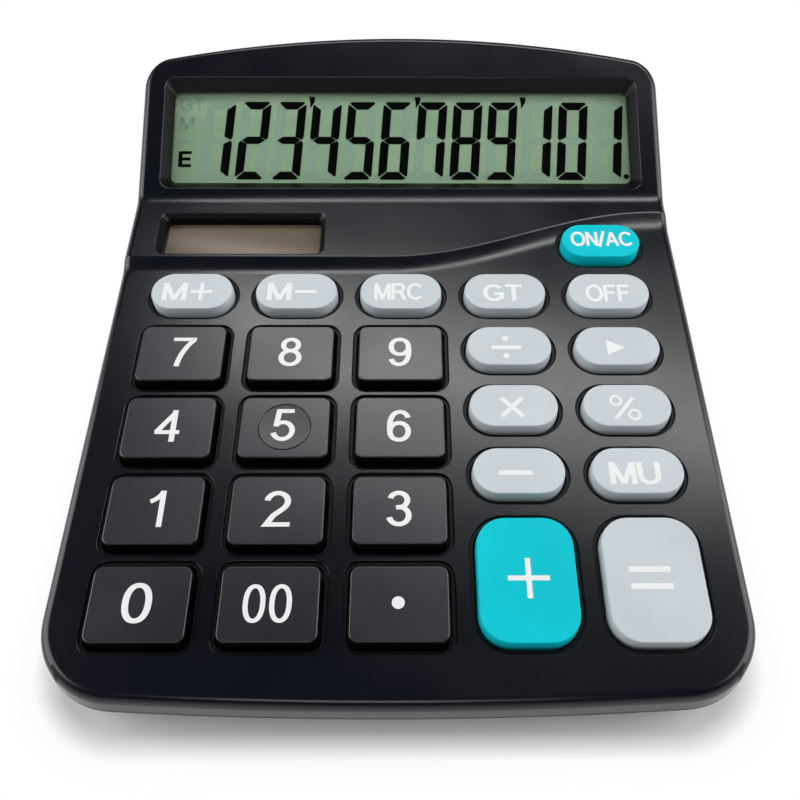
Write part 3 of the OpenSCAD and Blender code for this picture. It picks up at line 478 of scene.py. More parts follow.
def laminate():
    m = Nodes("board_laminate", (0.02, 0.13, 0.05), roughness=0.35)
    weave = m.node("TexBrick")
    for socket, value in (("Vector", m.coords()), ("Scale", 260), ("Color1", (0.016, 0.115, 0.045, 1)),
                          ("Color2", (0.02, 0.13, 0.052, 1)), ("Mortar", (0.03, 0.17, 0.07, 1))):
        m.feed(weave.inputs[socket], value)
    m.set("Base Color", weave.outputs["Color"])
    m.bump(m.noise(600), 0.000006)
    return m.mat


def metal(name, color, roughness, stretch):
    m = Nodes(name, color, roughness, Metallic=1.0)
    brushed = m.noise(700, 2.0, 0.6, stretch)
    m.wander(brushed, roughness - 0.07, roughness + 0.09)
    m.speckle(brushed, scaled(color, 0.92), color)
    m.bump(brushed, 0.000004)
    return m.mat


def cell_jacket():
    """Foil jacket of the battery cell: a dark body with a copper shoulder, no lettering."""
    dark, copper = (0.02, 0.02, 0.022), (0.55, 0.27, 0.12)
    m = Nodes("cell_jacket", dark, roughness=0.3, Metallic=0.6)
    low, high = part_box("battery_cell")
    share = m.spread(m.xyz()["X"], low.x, high.x)
    m.set("Base Color", m.ramp(share, [(0.0, (0.45, 0.45, 0.46)), (0.02, dark), (0.72, dark),
                                       (0.725, copper), (0.972, copper), (0.98, (0.6, 0.6, 0.6))]))
    m.bump(m.noise(500), 0.000006)
    return m.mat


STEEL = metal("steel", (0.62, 0.62, 0.63), roughness=0.3, stretch=(1, 1, 8))
PLATED = metal("plated_contact", (0.72, 0.73, 0.75), roughness=0.22, stretch=(1, 8, 1))


# ---- front housing ----
def keypad_height(y):
    return FRONT_H + (y - FRONT_Y) * tan(TILT)


def parting_height(y):
    return keypad_height(y) - SIDE_H / cos(TILT)


BEND_LINE = keypad(0, BEND_Y, STEP_H)


def head_height(y):
    return BEND_LINE[2] + (y - BEND_LINE[1]) * tan(HEAD_SLOPE)


def swoosh(x):
    """Share of the S bend's rise at a place across the case."""
    t = min(max((x - SWOOSH_X0) / (SWOOSH_X1 - SWOOSH_X0), 0), 1)
    return (1 - cos(pi * t)) / 2


# The ramp's profile as drawn: share of its width and share of its height
RAMP = ((-0.35, 0.0), (-0.18, 0.008), (0.0, 0.045), (0.2, 0.15), (0.4, 0.32), (0.6, 0.53), (0.78, 0.745),
        (0.9, 0.895), (0.955, 0.958), (1.0, 0.988), (1.05, 1.0))


def ramp_point(x, t, h):
    """Across the ramp below the panel's edge: t from its foot to its crest, h the share of the rise."""
    crest = CREST + SWOOSH_RISE * swoosh(x)
    width = RAMP_L + (RAMP_R - RAMP_L) * swoosh(x)
    return keypad(x, crest - width * (1 - t), STEP_H * h)


BEND_ROWS = 14
BEND_START = keypad(0, BEND_Y - BEND_R * tan(HEAD_TILT / 2), STEP_H)


def bend_point(x, k):
    a = TILT + HEAD_TILT * k / BEND_ROWS
    return (x, BEND_START[1] + BEND_R * (sin(a) - sin(TILT)),
            BEND_START[2] + BEND_R * (cos(TILT) - cos(a)))


ROWS = len(RAMP) + BEND_ROWS + 1


def row(k, xs):
    """One line across the top surface, counted from the ramp's foot to the bend's end."""
    if k < len(RAMP):
        return [ramp_point(x, *RAMP[k]) for x in xs]
    return [bend_point(x, k - len(RAMP)) for x in xs]


def side_rows(x):
    return [row(k, [x])[0] for k in range(ROWS)]


# Centres of the corner arcs, and the angles at which they meet the bowed edges
FCX = BODY_W / 2 - FRONT_R
FCY = FRONT_Y + FRONT_BOW - math.sqrt((FRONT_BOW - FRONT_R) ** 2 - FCX ** 2)
F_TURN = math.atan2(FCY - FRONT_Y - FRONT_BOW, FCX)
RCX = BODY_W / 2 - REAR_R
RCY = REAR_Y - REAR_BOW + math.sqrt((REAR_BOW - REAR_R) ** 2 - RCX ** 2)
R_TURN = math.atan2(RCY - REAR_Y + REAR_BOW, RCX)
BOW_STEPS, CORNER_STEPS = 14, 16


def outline(inset):
    """The case's outline with the height of the top surface at each point, anticlockwise."""
    front = (arc((0, FRONT_Y + FRONT_BOW), FRONT_BOW - inset, -pi / 2, F_TURN, BOW_STEPS)
             + arc((FCX, FCY), FRONT_R - inset, F_TURN, 0, CORNER_STEPS)[1:])
    rear = (arc((RCX, RCY), REAR_R - inset, 0, R_TURN, CORNER_STEPS)
            + arc((0, REAR_Y - REAR_BOW), REAR_BOW - inset, R_TURN, pi / 2, BOW_STEPS)[1:])
    front = [(x, y, keypad_height(y)) for x, y in front]
    rear = [(x, y, head_height(y)) for x, y in rear]
    left_rear = [(-x, y, z) for x, y, z in reversed(rear[:-1])]
    left_front = [(-x, y, z) for x, y, z in reversed(front[1:])]
    half = BODY_W / 2 - inset
    return (front + side_rows(half) + rear + left_rear + list(reversed(side_rows(-half))) + left_front,
            len(front), len(rear))


def side_rings(inset, foot, foot_r):
    """Rings of the skin's lower edge, rounded where foot_r isn't 0, and of the painted-shadow parting band
    above it.
    """
    rings = []
    for k in range(4 if foot_r else 1):
        a = pi / 2 * k / 3
        edge, _, _ = outline(inset + (foot_r * (1 - sin(a)) if foot_r else 0))
        rings.append([(x, y, parting_height(y) - foot + foot_r * (1 - cos(a))) for x, y, z in edge])
    if foot_r:
        edge, _, _ = outline(inset)
        rings.append([(x, y, parting_height(y) + PARTING_SHADOW_BAND) for x, y, z in edge])
    return rings


def edge_rings(inset, lower, round_r, steps):
    """Rings of the rounded upper edge."""
    rings = []
    for k in range(steps + 1):
        a = pi / 2 * k / steps
        edge, _, _ = outline(inset + round_r * (1 - cos(a)))
        rings.append([(x, y, z - lower - round_r * (1 - sin(a))) for x, y, z in edge])
    return rings


def housing_skin(inset, lower, round_r, steps, foot, foot_r, across):
    """Closed solid from the parting plane up to the top surface, lowered by `lower`."""
    rings = side_rings(inset, foot, foot_r) + edge_rings(inset + LEAN, lower, round_r, steps)
    verts, faces = loft(rings, cap_top=False)
    count, top = len(rings[0]), (len(rings) - 1) * len(rings[0])
    _, front, rear = outline(inset)
    right, left = front, front + ROWS + 2 * rear - 1
    edge = BODY_W / 2 - inset - LEAN - round_r
    xs = [-edge + 2 * edge * i / across for i in range(1, across)]
    grid = []
    for k in range(ROWS):
        start = len(verts)
        verts += [(x, y, z - lower) for x, y, z in row(k, xs)]
        inner = list(range(start, start + len(xs)))
        grid.append([top + left + ROWS - 1 - k] + inner + [top + right + k])
    for k, (a, b) in enumerate(zip(grid, grid[1:])):
        if k == len(RAMP) - 1:
            faces.append(tuple(a) + tuple(reversed(b)))
        else:
            faces += [(a[i], a[i + 1], b[i + 1], b[i]) for i in range(across)]
    faces.append(tuple(reversed(grid[0])) + tuple(top + i for i in range(left + ROWS, count))
                 + tuple(top + i for i in range(right)))
    faces.append(tuple(grid[-1]) + tuple(top + i for i in range(right + ROWS, left)))
    return verts, faces


def ring_at(place, w, l, r, z, n=9):
    return [place(x, y, z) for x, y in rounded(w, l, r, n)]


# Painted shade: recess walls and the parting band get a darker, duller material for their shadow:
# material index, height of the parting band, and the depth below each panel at which it starts
PAINTED_SHADE_INDEX, PARTING_SHADOW_BAND = 1, 0.8
PAINTED_SHADE_BELOW = {"keypad": 0.12, "step": 0.35, "head": 0.35}
PANELS = {"keypad": (keypad(0, 0, 0), TILT), "step": (keypad(0, 0, STEP_H), TILT),
          "head": (head(0, 0, 0), HEAD_SLOPE)}
# How far the housing's rounded rim reaches in, and how far the cutters go below the plate
RIM_SIDE, RIM_FRONT, RIM_REAR = 4, 5, 4
CUT_PAST = 1.5


def depth_below(point, panel):
    """How far a point lies under a tilted panel, in mm."""
    origin, tilt = PANELS[panel]
    return (Vector(origin) - point).dot(Vector((0, -sin(tilt), cos(tilt))))


def panel_over(x, y):
    """The panel that a recess at this place in plan starts from."""
    if y > BEND_LINE[1]:
        return "head"
    beside = abs(x - SOLAR_X) < SOLAR[0] / 2 and abs(y - keypad(0, SOLAR_Y, 0)[1]) < SOLAR[1] / 2
    return "step" if beside else "keypad"


def paint_recess_shade(body):
    """Paint shade on the walls of the wells and recesses and on the parting band, with the darker, duller
    material.
    """
    for face in body.data.polygons:
        centre = face.center / MM
        x, y, z = centre
        if abs(x) > BODY_W / 2 - RIM_SIDE or not FRONT_Y + RIM_FRONT < y < REAR_Y - RIM_REAR:
            in_painted_shade = z - parting_height(y) < PARTING_SHADOW_BAND
        else:
            panel = panel_over(x, y)
            in_painted_shade = PAINTED_SHADE_BELOW[panel] < depth_below(centre, panel) < PLATE + CUT_PAST
        if in_painted_shade:
            face.material_index = PAINTED_SHADE_INDEX


WELL_LIP, WELL_INNER_LIP, OUTER_LIP_ROUNDER = 0.16, 0.14, 0.12
SKIRT_OUT, DIGIT_SKIRT_OUT = 0.1, 0.8


def on_key(col, row_y):
    """The frame of one key, with its origin in the middle of the key."""
    return lambda x, y, z: keypad(x + col * COL, y + row_y, z)


def well_cutter(col, row_y, kind):
    """The opening of one key: rounded outer lip, shallow ledge, rounded inner lip."""
    skirt_w = kind["w"] + SKIRT_OUT
    skirt_l = kind["l"] + (DIGIT_SKIRT_OUT if kind is DIGIT else SKIRT_OUT)
    skirt_r = kind["r"] + SKIRT_OUT / 2
    lip, inner, outer = WELL_LIP, WELL_INNER_LIP, GAP + LEDGE_W
    profile = [(outer + lip + 0.015, 0.6)]
    profile += [(outer + lip * (1 - sin(a)), -lip * (1 - cos(a))) for a in (0.12, 0.5, 0.9, 1.25, pi / 2)]
    profile += [(outer, -LEDGE_H + 0.1), (outer - 0.03, -LEDGE_H + 0.03), (outer - 0.1, -LEDGE_H)]
    profile += [(GAP + inner * (1 - sin(a)), -LEDGE_H - inner * (1 - cos(a)))
                for a in (0.1, 0.5, 1.0, pi / 2)]
    profile += [(GAP, -PLATE - CUT_PAST)]
    place = on_key(col, row_y)

    def ring(out, z):
        corner_r = skirt_r + out + (OUTER_LIP_ROUNDER if out > LEDGE_W else 0)
        return ring_at(place, skirt_w + 2 * out, skirt_l + 2 * out, corner_r, z)
    return loft([ring(out, z) for out, z in reversed(profile)])


def on_window(x, y, z):
    return head(x, y + HEAD_MID, z)


def on_solar(x, y, z):
    return keypad(x + SOLAR_X, y + SOLAR_Y, z + STEP_H)


def window_cutter():
    """The sloping recess of the display window, with a fine rounded lip."""
    w, l, r = WINDOW
    lip, n = 0.3, 12
    lip_turns = (0.12, 0.5, 0.9, 1.3)
    rings = [ring_at(on_window, w + 2 * lip + 0.02, l + 2 * lip + 0.02, r + lip, 0.5, n)]
    for a in lip_turns:
        out = lip * (1 - sin(a))
        rings.append(ring_at(on_window, w + 2 * out, l + 2 * out, r + out, -lip * (1 - cos(a)) * 0.8, n))
    for t in (0.22, 1.0, 1.25):
        rings.append(ring_at(on_window, w - 2 * WINDOW_LEAN[0] * t, l - 2 * WINDOW_LEAN[1] * t,
                             r - t, -WINDOW_DEPTH * t, n))
    return loft(list(reversed(rings)))


def solar_cutter():
    """The recess of the solar cell: a bevel with soft edges above a straight opening."""
    w, l, r = SOLAR
    b, lip = SOLAR_BEVEL, 0.2
    profile = [(b, -SOLAR_DEPTH - 1), (b, -b - 0.25), (b - 0.03, -b - 0.05), (b - 0.12, -b + 0.08),
               (lip, -lip), (0.06, -0.08), (-0.05, -0.02), (-0.12, 0.004), (-0.12, 0.5)]
    return loft([ring_at(on_solar, w - 2 * o, l - 2 * o, r - o, z, 10) for o, z in profile])


def frames():
    """The moulded frames under the plate that hold the window and the solar cell."""
    window = [ring_at(on_window, WINDOW[0] + 0.2, WINDOW[1] - 1, 1, z) for z in (-WINDOW_DEPTH, -PLATE / 2)]
    cell = [ring_at(on_solar, SOLAR[0] + 1.2, SOLAR[1] + 1.2, 1, z) for z in (-SOLAR_DEPTH, -PLATE / 2)]
    return gather([loft(window), loft(cell)])


def drop_slivers(bm):
    bmesh.ops.remove_doubles(bm, verts=bm.verts, dist=2e-7)
    bmesh.ops.dissolve_degenerate(bm, edges=bm.edges, dist=1e-7)


def build_housing():
    body = make("front_housing", *housing_skin(0, 0, EDGE_R, 9, 0, 0.15, across=72), [CASE])
    inside = housing_skin(WALL, PLATE / cos(TILT), 1.0, 3, 1.0, 0, across=24)
    combine(body, make("hollow", *inside, [CASE]), "DIFFERENCE")
    combine(body, make("frames", *frames(), [CASE]), "UNION")
    wells = [well_cutter(col, row_y, kind) for col, row_y, kind, _ in KEYS.values()]
    cutters = gather(wells + [window_cutter(), solar_cutter()])
    combine(body, make("cutters", *cutters, [CASE]), "DIFFERENCE")
    edit(body.data, drop_slivers)
    body.data.materials.clear()
    for material in (CASE, CASE_PAINTED_SHADE):
        body.data.materials.append(material)
    paint_recess_shade(body)
    panel_normals(body, [Vector((0, -sin(a), cos(a))) for a in (TILT, HEAD_SLOPE)], 28)
    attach(body, "case")
    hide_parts("front_case")


# ---- lettering: strokes with an oval pen ----
CURVE_STEPS, DISC_STEPS = 14, 28


def ellipse(cx, cy, rx, ry, a0, a1, n, power=2.0):
    """An arc of an ellipse between two angles in degrees; more power makes it squarer."""
    out = []
    for i in range(n + 1):
        a = math.radians(a0 + (a1 - a0) * i / n)
        c, s = cos(a), sin(a)
        k = 2 / power
        out.append((cx + rx * math.copysign(abs(c) ** k, c), cy + ry * math.copysign(abs(s) ** k, s)))
    return out


def curve(p0, p1, p2, p3):
    """A cubic Bezier curve."""
    out = []
    for i in range(CURVE_STEPS + 1):
        t = i / CURVE_STEPS
        s = 1 - t
        out.append(tuple(s ** 3 * a + 3 * s * s * t * b + 3 * s * t * t * c + t ** 3 * d
                         for a, b, c, d in zip(p0, p1, p2, p3)))
    return out


def join(*parts):
    """One line through all points, without those that almost coincide."""
    out = []
    for p in parts:
        out += [q for q in p if not out or math.dist(q, out[-1]) > 4e-3]
    return out


# Insets of a stroke's centre line from the side and from the top or bottom of its letter
A, B = 0.072, 0.066

# Outer width of each sign and the centre lines of its strokes, in units of the cap height
GLYPHS = {
    "0": (0.64, ellipse(0.32, 0.5, 0.32 - A, 0.5 - B, 0, 360, 48, 2.25)),
    "o": (0.55, ellipse(0.275, 0.5, 0.275 - 0.058, 0.5 - 0.056, 0, 360, 48, 2.25)),
    "1": (0.455, [(0.385, 0), (0.385, 1)], curve((0.37, 0.97), (0.31, 0.82), (0.17, 0.735), (0.06, 0.7))),
    "2": (0.66, join(ellipse(0.335, 0.69, 0.247, 0.244, 172, 12, 20),
                     curve((0.577, 0.741), (0.6, 0.53), (0.4, 0.45), (0.25, 0.3)),
                     [(0.25, 0.3), (0.105, B)], [(0.66, B)])),
    "3": (0.64, join(ellipse(0.315, 0.73, 0.215, 0.204, 165, -78, 24), [(0.25, 0.526)]),
          join([(0.25, 0.526)], ellipse(0.32, 0.303, 0.243, 0.237, 82, -168, 30))),
    "4": (0.69, [(0.515, 0.0), (0.515, 0.98)], [(0.52, 0.9), (0.09, 0.3)], [(0.05, 0.295), (0.69, 0.295)]),
    "5": (0.645, [(0.175, 1 - B), (0.6, 1 - B)], [(0.205, 0.985), (0.137, 0.455)],
          ellipse(0.322, 0.325, 0.25, 0.26, 139, -165, 34)),
    "6": (0.65, ellipse(0.335, 0.325, 0.243, 0.26, 0, 360, 40, 2.1),
          join(ellipse(0.36, 0.72, 0.212, 0.214, 8, 90, 12),
               curve((0.36, 0.934), (0.12, 0.93), (0.06, 0.62), (0.092, 0.325)))),
    "7": (0.66, join([(0.03, 1 - B), (0.595, 1 - B)],
                     curve((0.595, 0.9), (0.42, 0.72), (0.24, 0.36), (0.215, 0.0)))),
    "8": (0.64, ellipse(0.32, 0.735, 0.205, 0.199, 0, 360, 36), ellipse(0.32, 0.3, 0.246, 0.236, 0, 360, 40)),
    "M": (0.86, [(A, 0), (A, 1)], [(0.86 - A, 0), (0.86 - A, 1)], [(A + 0.015, 0.965), (0.44, 0.035)],
          [(0.86 - A - 0.015, 0.965), (0.42, 0.035)]),
    "R": (0.78, [(A, 0), (A, 1)],
          join([(A, 1 - B), (0.44, 1 - B)], ellipse(0.44, 0.715, 0.225, 0.219, 90, -90, 16), [(A, 0.496)]),
          curve((0.4, 0.49), (0.56, 0.42), (0.62, 0.2), (0.74, 0.0))),
    "C": (0.85, ellipse(0.45, 0.5, 0.45 - A, 0.5 - B, 38, 322, 40, 2.1)),
    "G": (0.88, join(ellipse(0.455, 0.5, 0.455 - A, 0.5 - B, 40, 312, 40, 2.1), [(0.79, 0.2)],
                     [(0.79, 0.445)], [(0.47, 0.445)])),
    "T": (0.76, [(0.0, 1 - B), (0.76, 1 - B)], [(0.38, 1), (0.38, 0)]),
    "O": (0.92, ellipse(0.46, 0.5, 0.46 - A, 0.5 - B, 0, 360, 48, 2.1)),
    "F": (0.68, [(A, 0), (A, 1)], [(A, 1 - B), (0.66, 1 - B)], [(A, 0.52), (0.58, 0.52)]),
    "N": (0.74, [(A, 0), (A, 1)], [(0.74 - A, 0), (0.74 - A, 1)],
          [(A + 0.015, 0.96), (0.74 - A - 0.015, 0.04)]),
    "/": (0.38, [(0.0, -0.06), (0.37, 1.06)]),
    "A": (0.8, [(0.04, 0), (0.40, 0.97)], [(0.76, 0), (0.40, 0.97)], [(0.17, 0.33), (0.63, 0.33)]),
    "U": (0.74, join([(A, 1), (A, 0.36)], ellipse(0.37, 0.36, 0.37 - A, 0.36 - B, 180, 360, 20),
                     [(0.74 - A, 1)])),
    "E": (0.64, [(A, 0), (A, 1)], [(A, 1 - B), (0.62, 1 - B)], [(A, 0.51), (0.58, 0.51)],
          [(A, B), (0.62, B)]),
}
SIX_W, *SIX = GLYPHS["6"]
GLYPHS["9"] = (SIX_W, *[[(SIX_W - x, 1 - y) for x, y in pts] for pts in SIX])


def pen_offset(d, pa, pb):
    """Where an oval pen's edge lies beside its middle as it moves along d, the normal and its reach."""
    k = math.hypot(*d)
    nx, ny = -d[1] / k, d[0] / k
    reach = math.hypot(pa * nx, pb * ny)
    return (pa * pa * nx / reach, pb * pb * ny / reach), (nx, ny), reach


# Turns sharper than this are mitred, and no mitre is longer than this many pen widths
MITRE_FROM, MITRE_MOST = 0.05, 2.2


def mitre(before, after, pa, pb):
    """Offset of a stroke's left edge at a point with these directions before and after it."""
    (o1, n1, h1), (o2, n2, h2) = pen_offset(before, pa, pb), pen_offset(after, pa, pb)
    det = n1[0] * n2[1] - n1[1] * n2[0]
    if abs(det) <= MITRE_FROM:
        return (o1[0] + o2[0]) / 2, (o1[1] + o2[1]) / 2
    x, y = (h1 * n2[1] - h2 * n1[1]) / det, (n1[0] * h2 - n2[0] * h1) / det
    length, most = math.hypot(x, y), MITRE_MOST * max(h1, h2)
    return (x / length * most, y / length * most) if length > most else (x, y)


def pen_stroke(pts, pa, pb):
    """Left and right edges of a stroke drawn with an oval pen, and whether it closes on itself."""
    closed = math.dist(pts[0], pts[-1]) < 1e-6
    pts = pts[:-1] if closed else pts
    steps = [(b[0] - a[0], b[1] - a[1]) for a, b in zip(pts, pts[1:] + pts[:1])]
    if not closed:
        steps[-1] = steps[-2]
    left, right = [], []
    for i, (x, y) in enumerate(pts):
        before = steps[i - 1] if i or closed else steps[0]
        ox, oy = mitre(before, steps[i], pa, pb)
        left.append((x + ox, y + oy))
        right.append((x - ox, y - oy))
    return left, right, closed


def dense(pts, step=0.12):
    """The same line with points no further than about one step apart."""
    out = [pts[0]]
    for a, b in zip(pts, pts[1:]):
        k = max(1, int(math.dist(a, b) / step))
        out += [tuple(u + (v - u) * j / k for u, v in zip(a, b)) for j in range(1, k + 1)]
    return out


def letters(text, height, pen, width, cx, cy, gap=0.1):
    """Flat strips that spell the text, `height` mm tall and `width` mm wide, centred on (cx, cy)."""
    cursor, strips = 0.0, []
    for ch in text:
        w, *strokes = GLYPHS[ch]
        for pts in strokes:
            *edges, closed = pen_stroke(dense(pts), *pen)
            strips.append(([[(x + cursor, y) for x, y in edge] for edge in edges], closed))
        cursor += w + gap
    total = cursor - gap

    def place(x, y):
        return (x - total / 2) * width / total + cx, (y - 0.5) * height + cy
    return [(*[[place(x, y) for x, y in edge] for edge in edges], closed) for edges, closed in strips]


def bar(x0, y0, x1, y1, half):
    """A straight strip between two points, with square ends."""
    k = math.dist((x0, y0), (x1, y1))
    nx, ny = -(y1 - y0) / k * half, (x1 - x0) / k * half
    pts = dense([(x0, y0), (x1, y1)], 0.8)
    return [(x + nx, y + ny) for x, y in pts], [(x - nx, y - ny) for x, y in pts], False


def disc(cx, cy, r, inner=0.0):
    """A ring, or a full disc, as a closed strip."""
    turns = [2 * pi * i / DISC_STEPS for i in range(DISC_STEPS)]
    pts = [(cos(a), sin(a)) for a in turns]
    rims = [[(cx + k * x, cy + k * y) for x, y in pts] for k in (inner, r)]
    return (*rims, True)


def ink_faces(start, left, closed):
    """Faces of one strip whose left edge and then right edge begin at vertex `start`."""
    n = len(left)
    return [(start + n + i, start + n + (i + 1) % n, start + (i + 1) % n, start + i)
            for i in range(n if closed else n - 1)]


# Legends, placed on each key top: text, height and width in mm, place, pen and gap
DIGIT_PEN, ZERO_PEN, WORD_PEN, MEMORY_PEN = (0.073, 0.06), (0.065, 0.053), (0.098, 0.082), (0.092, 0.075)
DIGIT_LEGENDS = {"0": (4.85, -0.21, 0.1), "1": (2.95, 0.17, 0.2), "2": (4.85, -0.07, 0.18),
                 "3": (4.5, -0.17, 0.2), "4": (4.85, -0.32, 0.25), "5": (4.5, -0.3, 0.4),
                 "6": (4.5, -0.28, 0.18), "7": (4.65, 0.22, 0.2), "8": (4.5, -0.12, 0.2),
                 "9": (4.5, -0.06, 0.2)}
DIGIT_HEIGHT = 6.85
ZEROS = [letters("o", 6.5, ZERO_PEN, 3.6, x, -0.02)[0] for x in (-2.42, 1.9)]
MEMORY_M = letters("M", 4.5, MEMORY_PEN, 4.75, -3.4, -0.25)
MEMORY_BAR = bar(1.95 - 2.2, -0.25, 1.95 + 2.2, -0.25, 0.39)
LEGENDS = {
    "key_00": ZEROS,
    "key_point": [disc(-0.2, 0.05, 1.07)],
    "key_mrc": letters("MRC", 4.25, WORD_PEN, 9.7, -0.42, -0.2, 0.09),
    "key_gt": letters("GT", 4.25, WORD_PEN, 7.9, -0.42, -0.5, 0.09),
    "key_off": letters("OFF", 4.3, WORD_PEN, 9.0, -0.2, -0.55, 0.09),
    "key_on_ac": letters("ON/AC", 3.95, WORD_PEN, 13.0, 0.2, 0.38, 0.09),
    "key_mu": letters("MU", 4.4, WORD_PEN, 8.95, -0.63, -0.6, 0.09),
    "key_m_plus": MEMORY_M + [MEMORY_BAR, bar(1.95, 0.11, 1.95, 2.0, 0.4), bar(1.95, -0.61, 1.95, -2.5, 0.4)],
    "key_m_minus": MEMORY_M + [MEMORY_BAR],
    "key_divide": [bar(-3.5, -0.47, 2.35, -0.47, 0.4), disc(-0.72, 1.62, 0.6), disc(-0.72, -2.5, 0.6)],
    "key_backspace": [([(-2.2, 1.3), (1.4, -0.5)], [(-2.2, -2.3), (1.4, -0.5001)], False)],
    "key_multiply": [bar(-2.35, 1.55, 1.6, -2.5, 0.42), bar(-2.35, -2.5, 1.6, 1.55, 0.42)],
    "key_percent": [bar(1.2, 1.6, -2.5, -3.0, 0.36), disc(-2.1, 0.95, 1.25, 0.72),
                    disc(1.05, -2.12, 1.25, 0.72)],
    "key_minus": [bar(-3.7, -0.49, 2.35, -0.49, 0.46)],
    "key_plus": [bar(-3.33, -0.04, 3.67, -0.04, 0.43), bar(0.17, 0.39, 0.17, 3.45, 0.45),
                 bar(0.17, -0.47, 0.17, -3.5, 0.45)],
    "key_equals": [bar(-4.3, 1.46, 2.7, 1.46, 0.5), bar(-4.3, -1.49, 2.7, -1.49, 0.5)],
}
LEGENDS.update(("key_" + text, letters(text, DIGIT_HEIGHT, DIGIT_PEN, *place))
               for text, place in DIGIT_LEGENDS.items())


# ---- keys ----
# The five key's finger dish and the fine groove round it
DISH_MARGIN, DISH_DEEP, GROOVE_DEEP, GROOVE_HALF = 1.6, 0.1, 0.15, 0.13
DISH_R = DIGIT_L / 2 - DISH_MARGIN
DISH_RINGS = [DISH_R + out for out in (0.14, 0.07, 0, -0.07, -0.14)]
DISH_RINGS += [share * DISH_R for share in (0.85, 0.65, 0.4, 0.2)]
TOP_TURNS, EVEN_SPOKES, SPOKES_APART = 5, 72, 0.012
INK_LIFT, INK_LAYER = 0.018, 0.0012
SIDE_FACES, TOP_FACES, INK_FACES = 0, 1, 2
LOOKS = {"dark": (DARK_SIDE_SHADED, DARK_TOP_LIT), "grey": (GREY, GREY), "teal": (TEAL, TEAL)}


def dish(x, y):
    """Depth of the five key's top below its plane."""
    r = math.hypot(x, y)
    groove = GROOVE_DEEP * max(0, 1 - abs(r - DISH_R) / GROOVE_HALF)
    return max(groove, DISH_DEEP * max(0, 1 - (r / DISH_R) ** 2))


def spoke(w, l, r, angle):
    """Where a ray from the middle meets a rounded rectangle."""
    c, s = cos(angle), sin(angle)
    t = min(w / 2 / max(abs(c), 1e-9), l / 2 / max(abs(s), 1e-9))
    if t * abs(c) > w / 2 - r and t * abs(s) > l / 2 - r:
        cx, cy = w / 2 - r, l / 2 - r
        along, across = abs(c) * cx + abs(s) * cy, abs(c) * cy - abs(s) * cx
        t = along + math.sqrt(max(r * r - across * across, 0))
    return t * c, t * s


def spoke_angles(w, l, r):
    """Directions that serve both the corners of a rounded rectangle and an even circle."""
    corners = [math.atan2(y, x) % (2 * pi) for x, y in rounded(w, l, r)]
    even = [2 * pi * i / EVEN_SPOKES for i in range(EVEN_SPOKES)]
    out = []
    for a in sorted(corners + even):
        if not out or a - out[-1] > SPOKES_APART:
            out.append(a)
    return out


def key_profile(kind):
    """A key's outline at each height, lowest first: how far it stands out, and the height."""
    rise, edge = kind["rise"], kind["edge"]
    sides = [(-PLATE - 0.9, 1.0), (-0.6, 1.0), (0.0, 0.96), (rise * 0.5, 0.62), (rise - edge, 0.12)]
    lean_x, lean_y = kind["lean"]
    profile = [(lean_x * k, lean_y * k, min(lean_x, lean_y) * k, z) for z, k in sides]
    for i in range(1, TOP_TURNS + 1):
        a = pi / 2 * i / TOP_TURNS
        d = edge * (1 - cos(a))
        profile.append((-d, -d, -d, rise - edge * (1 - sin(a))))
    return profile, len(sides)


def dish_top(verts, faces, place, rise, angles):
    """Rings from a key's top edge down into its dish."""
    count = len(angles)
    last = len(verts) - count
    for k in DISH_RINGS:
        verts += [place(k * cos(t), k * sin(t), rise - dish(k, 0)) for t in angles]
        new = len(verts) - count
        faces += [(last + i, last + (i + 1) % count, new + (i + 1) % count, new + i) for i in range(count)]
        last = new
    verts.append(place(0, 0, rise - dish(0, 0)))
    faces += [(last + i, last + (i + 1) % count, len(verts) - 1) for i in range(count)]


def key_shape(kind, place, dark, dished):
    """A key's vertices and faces without its legend, and the look of each face."""
    w, l, r = kind["w"], kind["l"], kind["r"]
    angles = spoke_angles(w, l, r) if dished else None

    def ring(out_x, out_y, out_r, z):
        size = (w + 2 * out_x, l + 2 * out_y, r + out_r)
        if dished:
            return [place(*spoke(*size, t), z) for t in angles]
        return ring_at(place, *size, z)
    profile, side_steps = key_profile(kind)
    rings = [ring(*step) for step in profile]
    verts, faces = loft(rings, cap_top=not dished)
    if dished:
        dish_top(verts, faces, place, kind["rise"], angles)
    # On dark keys the painted-shade skirt material also covers the lowest two bands of the top's rounded edge
    sides = (side_steps - 1 + (2 if dark else 0)) * len(rings[0])
    index = [SIDE_FACES] * sides + [TOP_FACES] * (len(faces) - sides)
    index[(len(rings) - 1) * len(rings[0])] = SIDE_FACES
    return verts, faces, index


def turn_ink_up(bm):
    bm.normal_update()
    up = Vector((0, -sin(TILT), cos(TILT)))
    inked = [face for face in bm.faces if face.material_index == INK_FACES]
    bmesh.ops.reverse_faces(bm, faces=[face for face in inked if face.normal.dot(up) < 0])


def build_key(name):
    col, row_y, kind, colour = KEYS[name]
    place, dished = on_key(col, row_y), name == "key_5"
    verts, faces, index = key_shape(kind, place, colour == "dark", dished)
    for j, (left, right, closed) in enumerate(LEGENDS[name]):
        faces += ink_faces(len(verts), left, closed)
        z = kind["rise"] + (INK_LIFT + INK_LAYER * j)
        verts += [place(x, y, z - (dish(x, y) if dished else 0)) for x, y in left + right]
    index += [INK_FACES] * (len(faces) - len(index))
    cap = make("cap_" + name[4:], verts, faces, [*LOOKS[colour], INK], index)
    edit(cap.data, turn_ink_up)
    shade(cap, 35)
    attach(cap, name)
    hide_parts(name)


# ---- display ----
SHOWN = "123456789101"
LIT = {"1": "bc", "2": "abged", "3": "abgcd", "4": "fgbc", "5": "afgcd", "6": "afgedc", "7": "abcf",
       "8": "abcdefg", "9": "abcdfg", "0": "abcdef"}
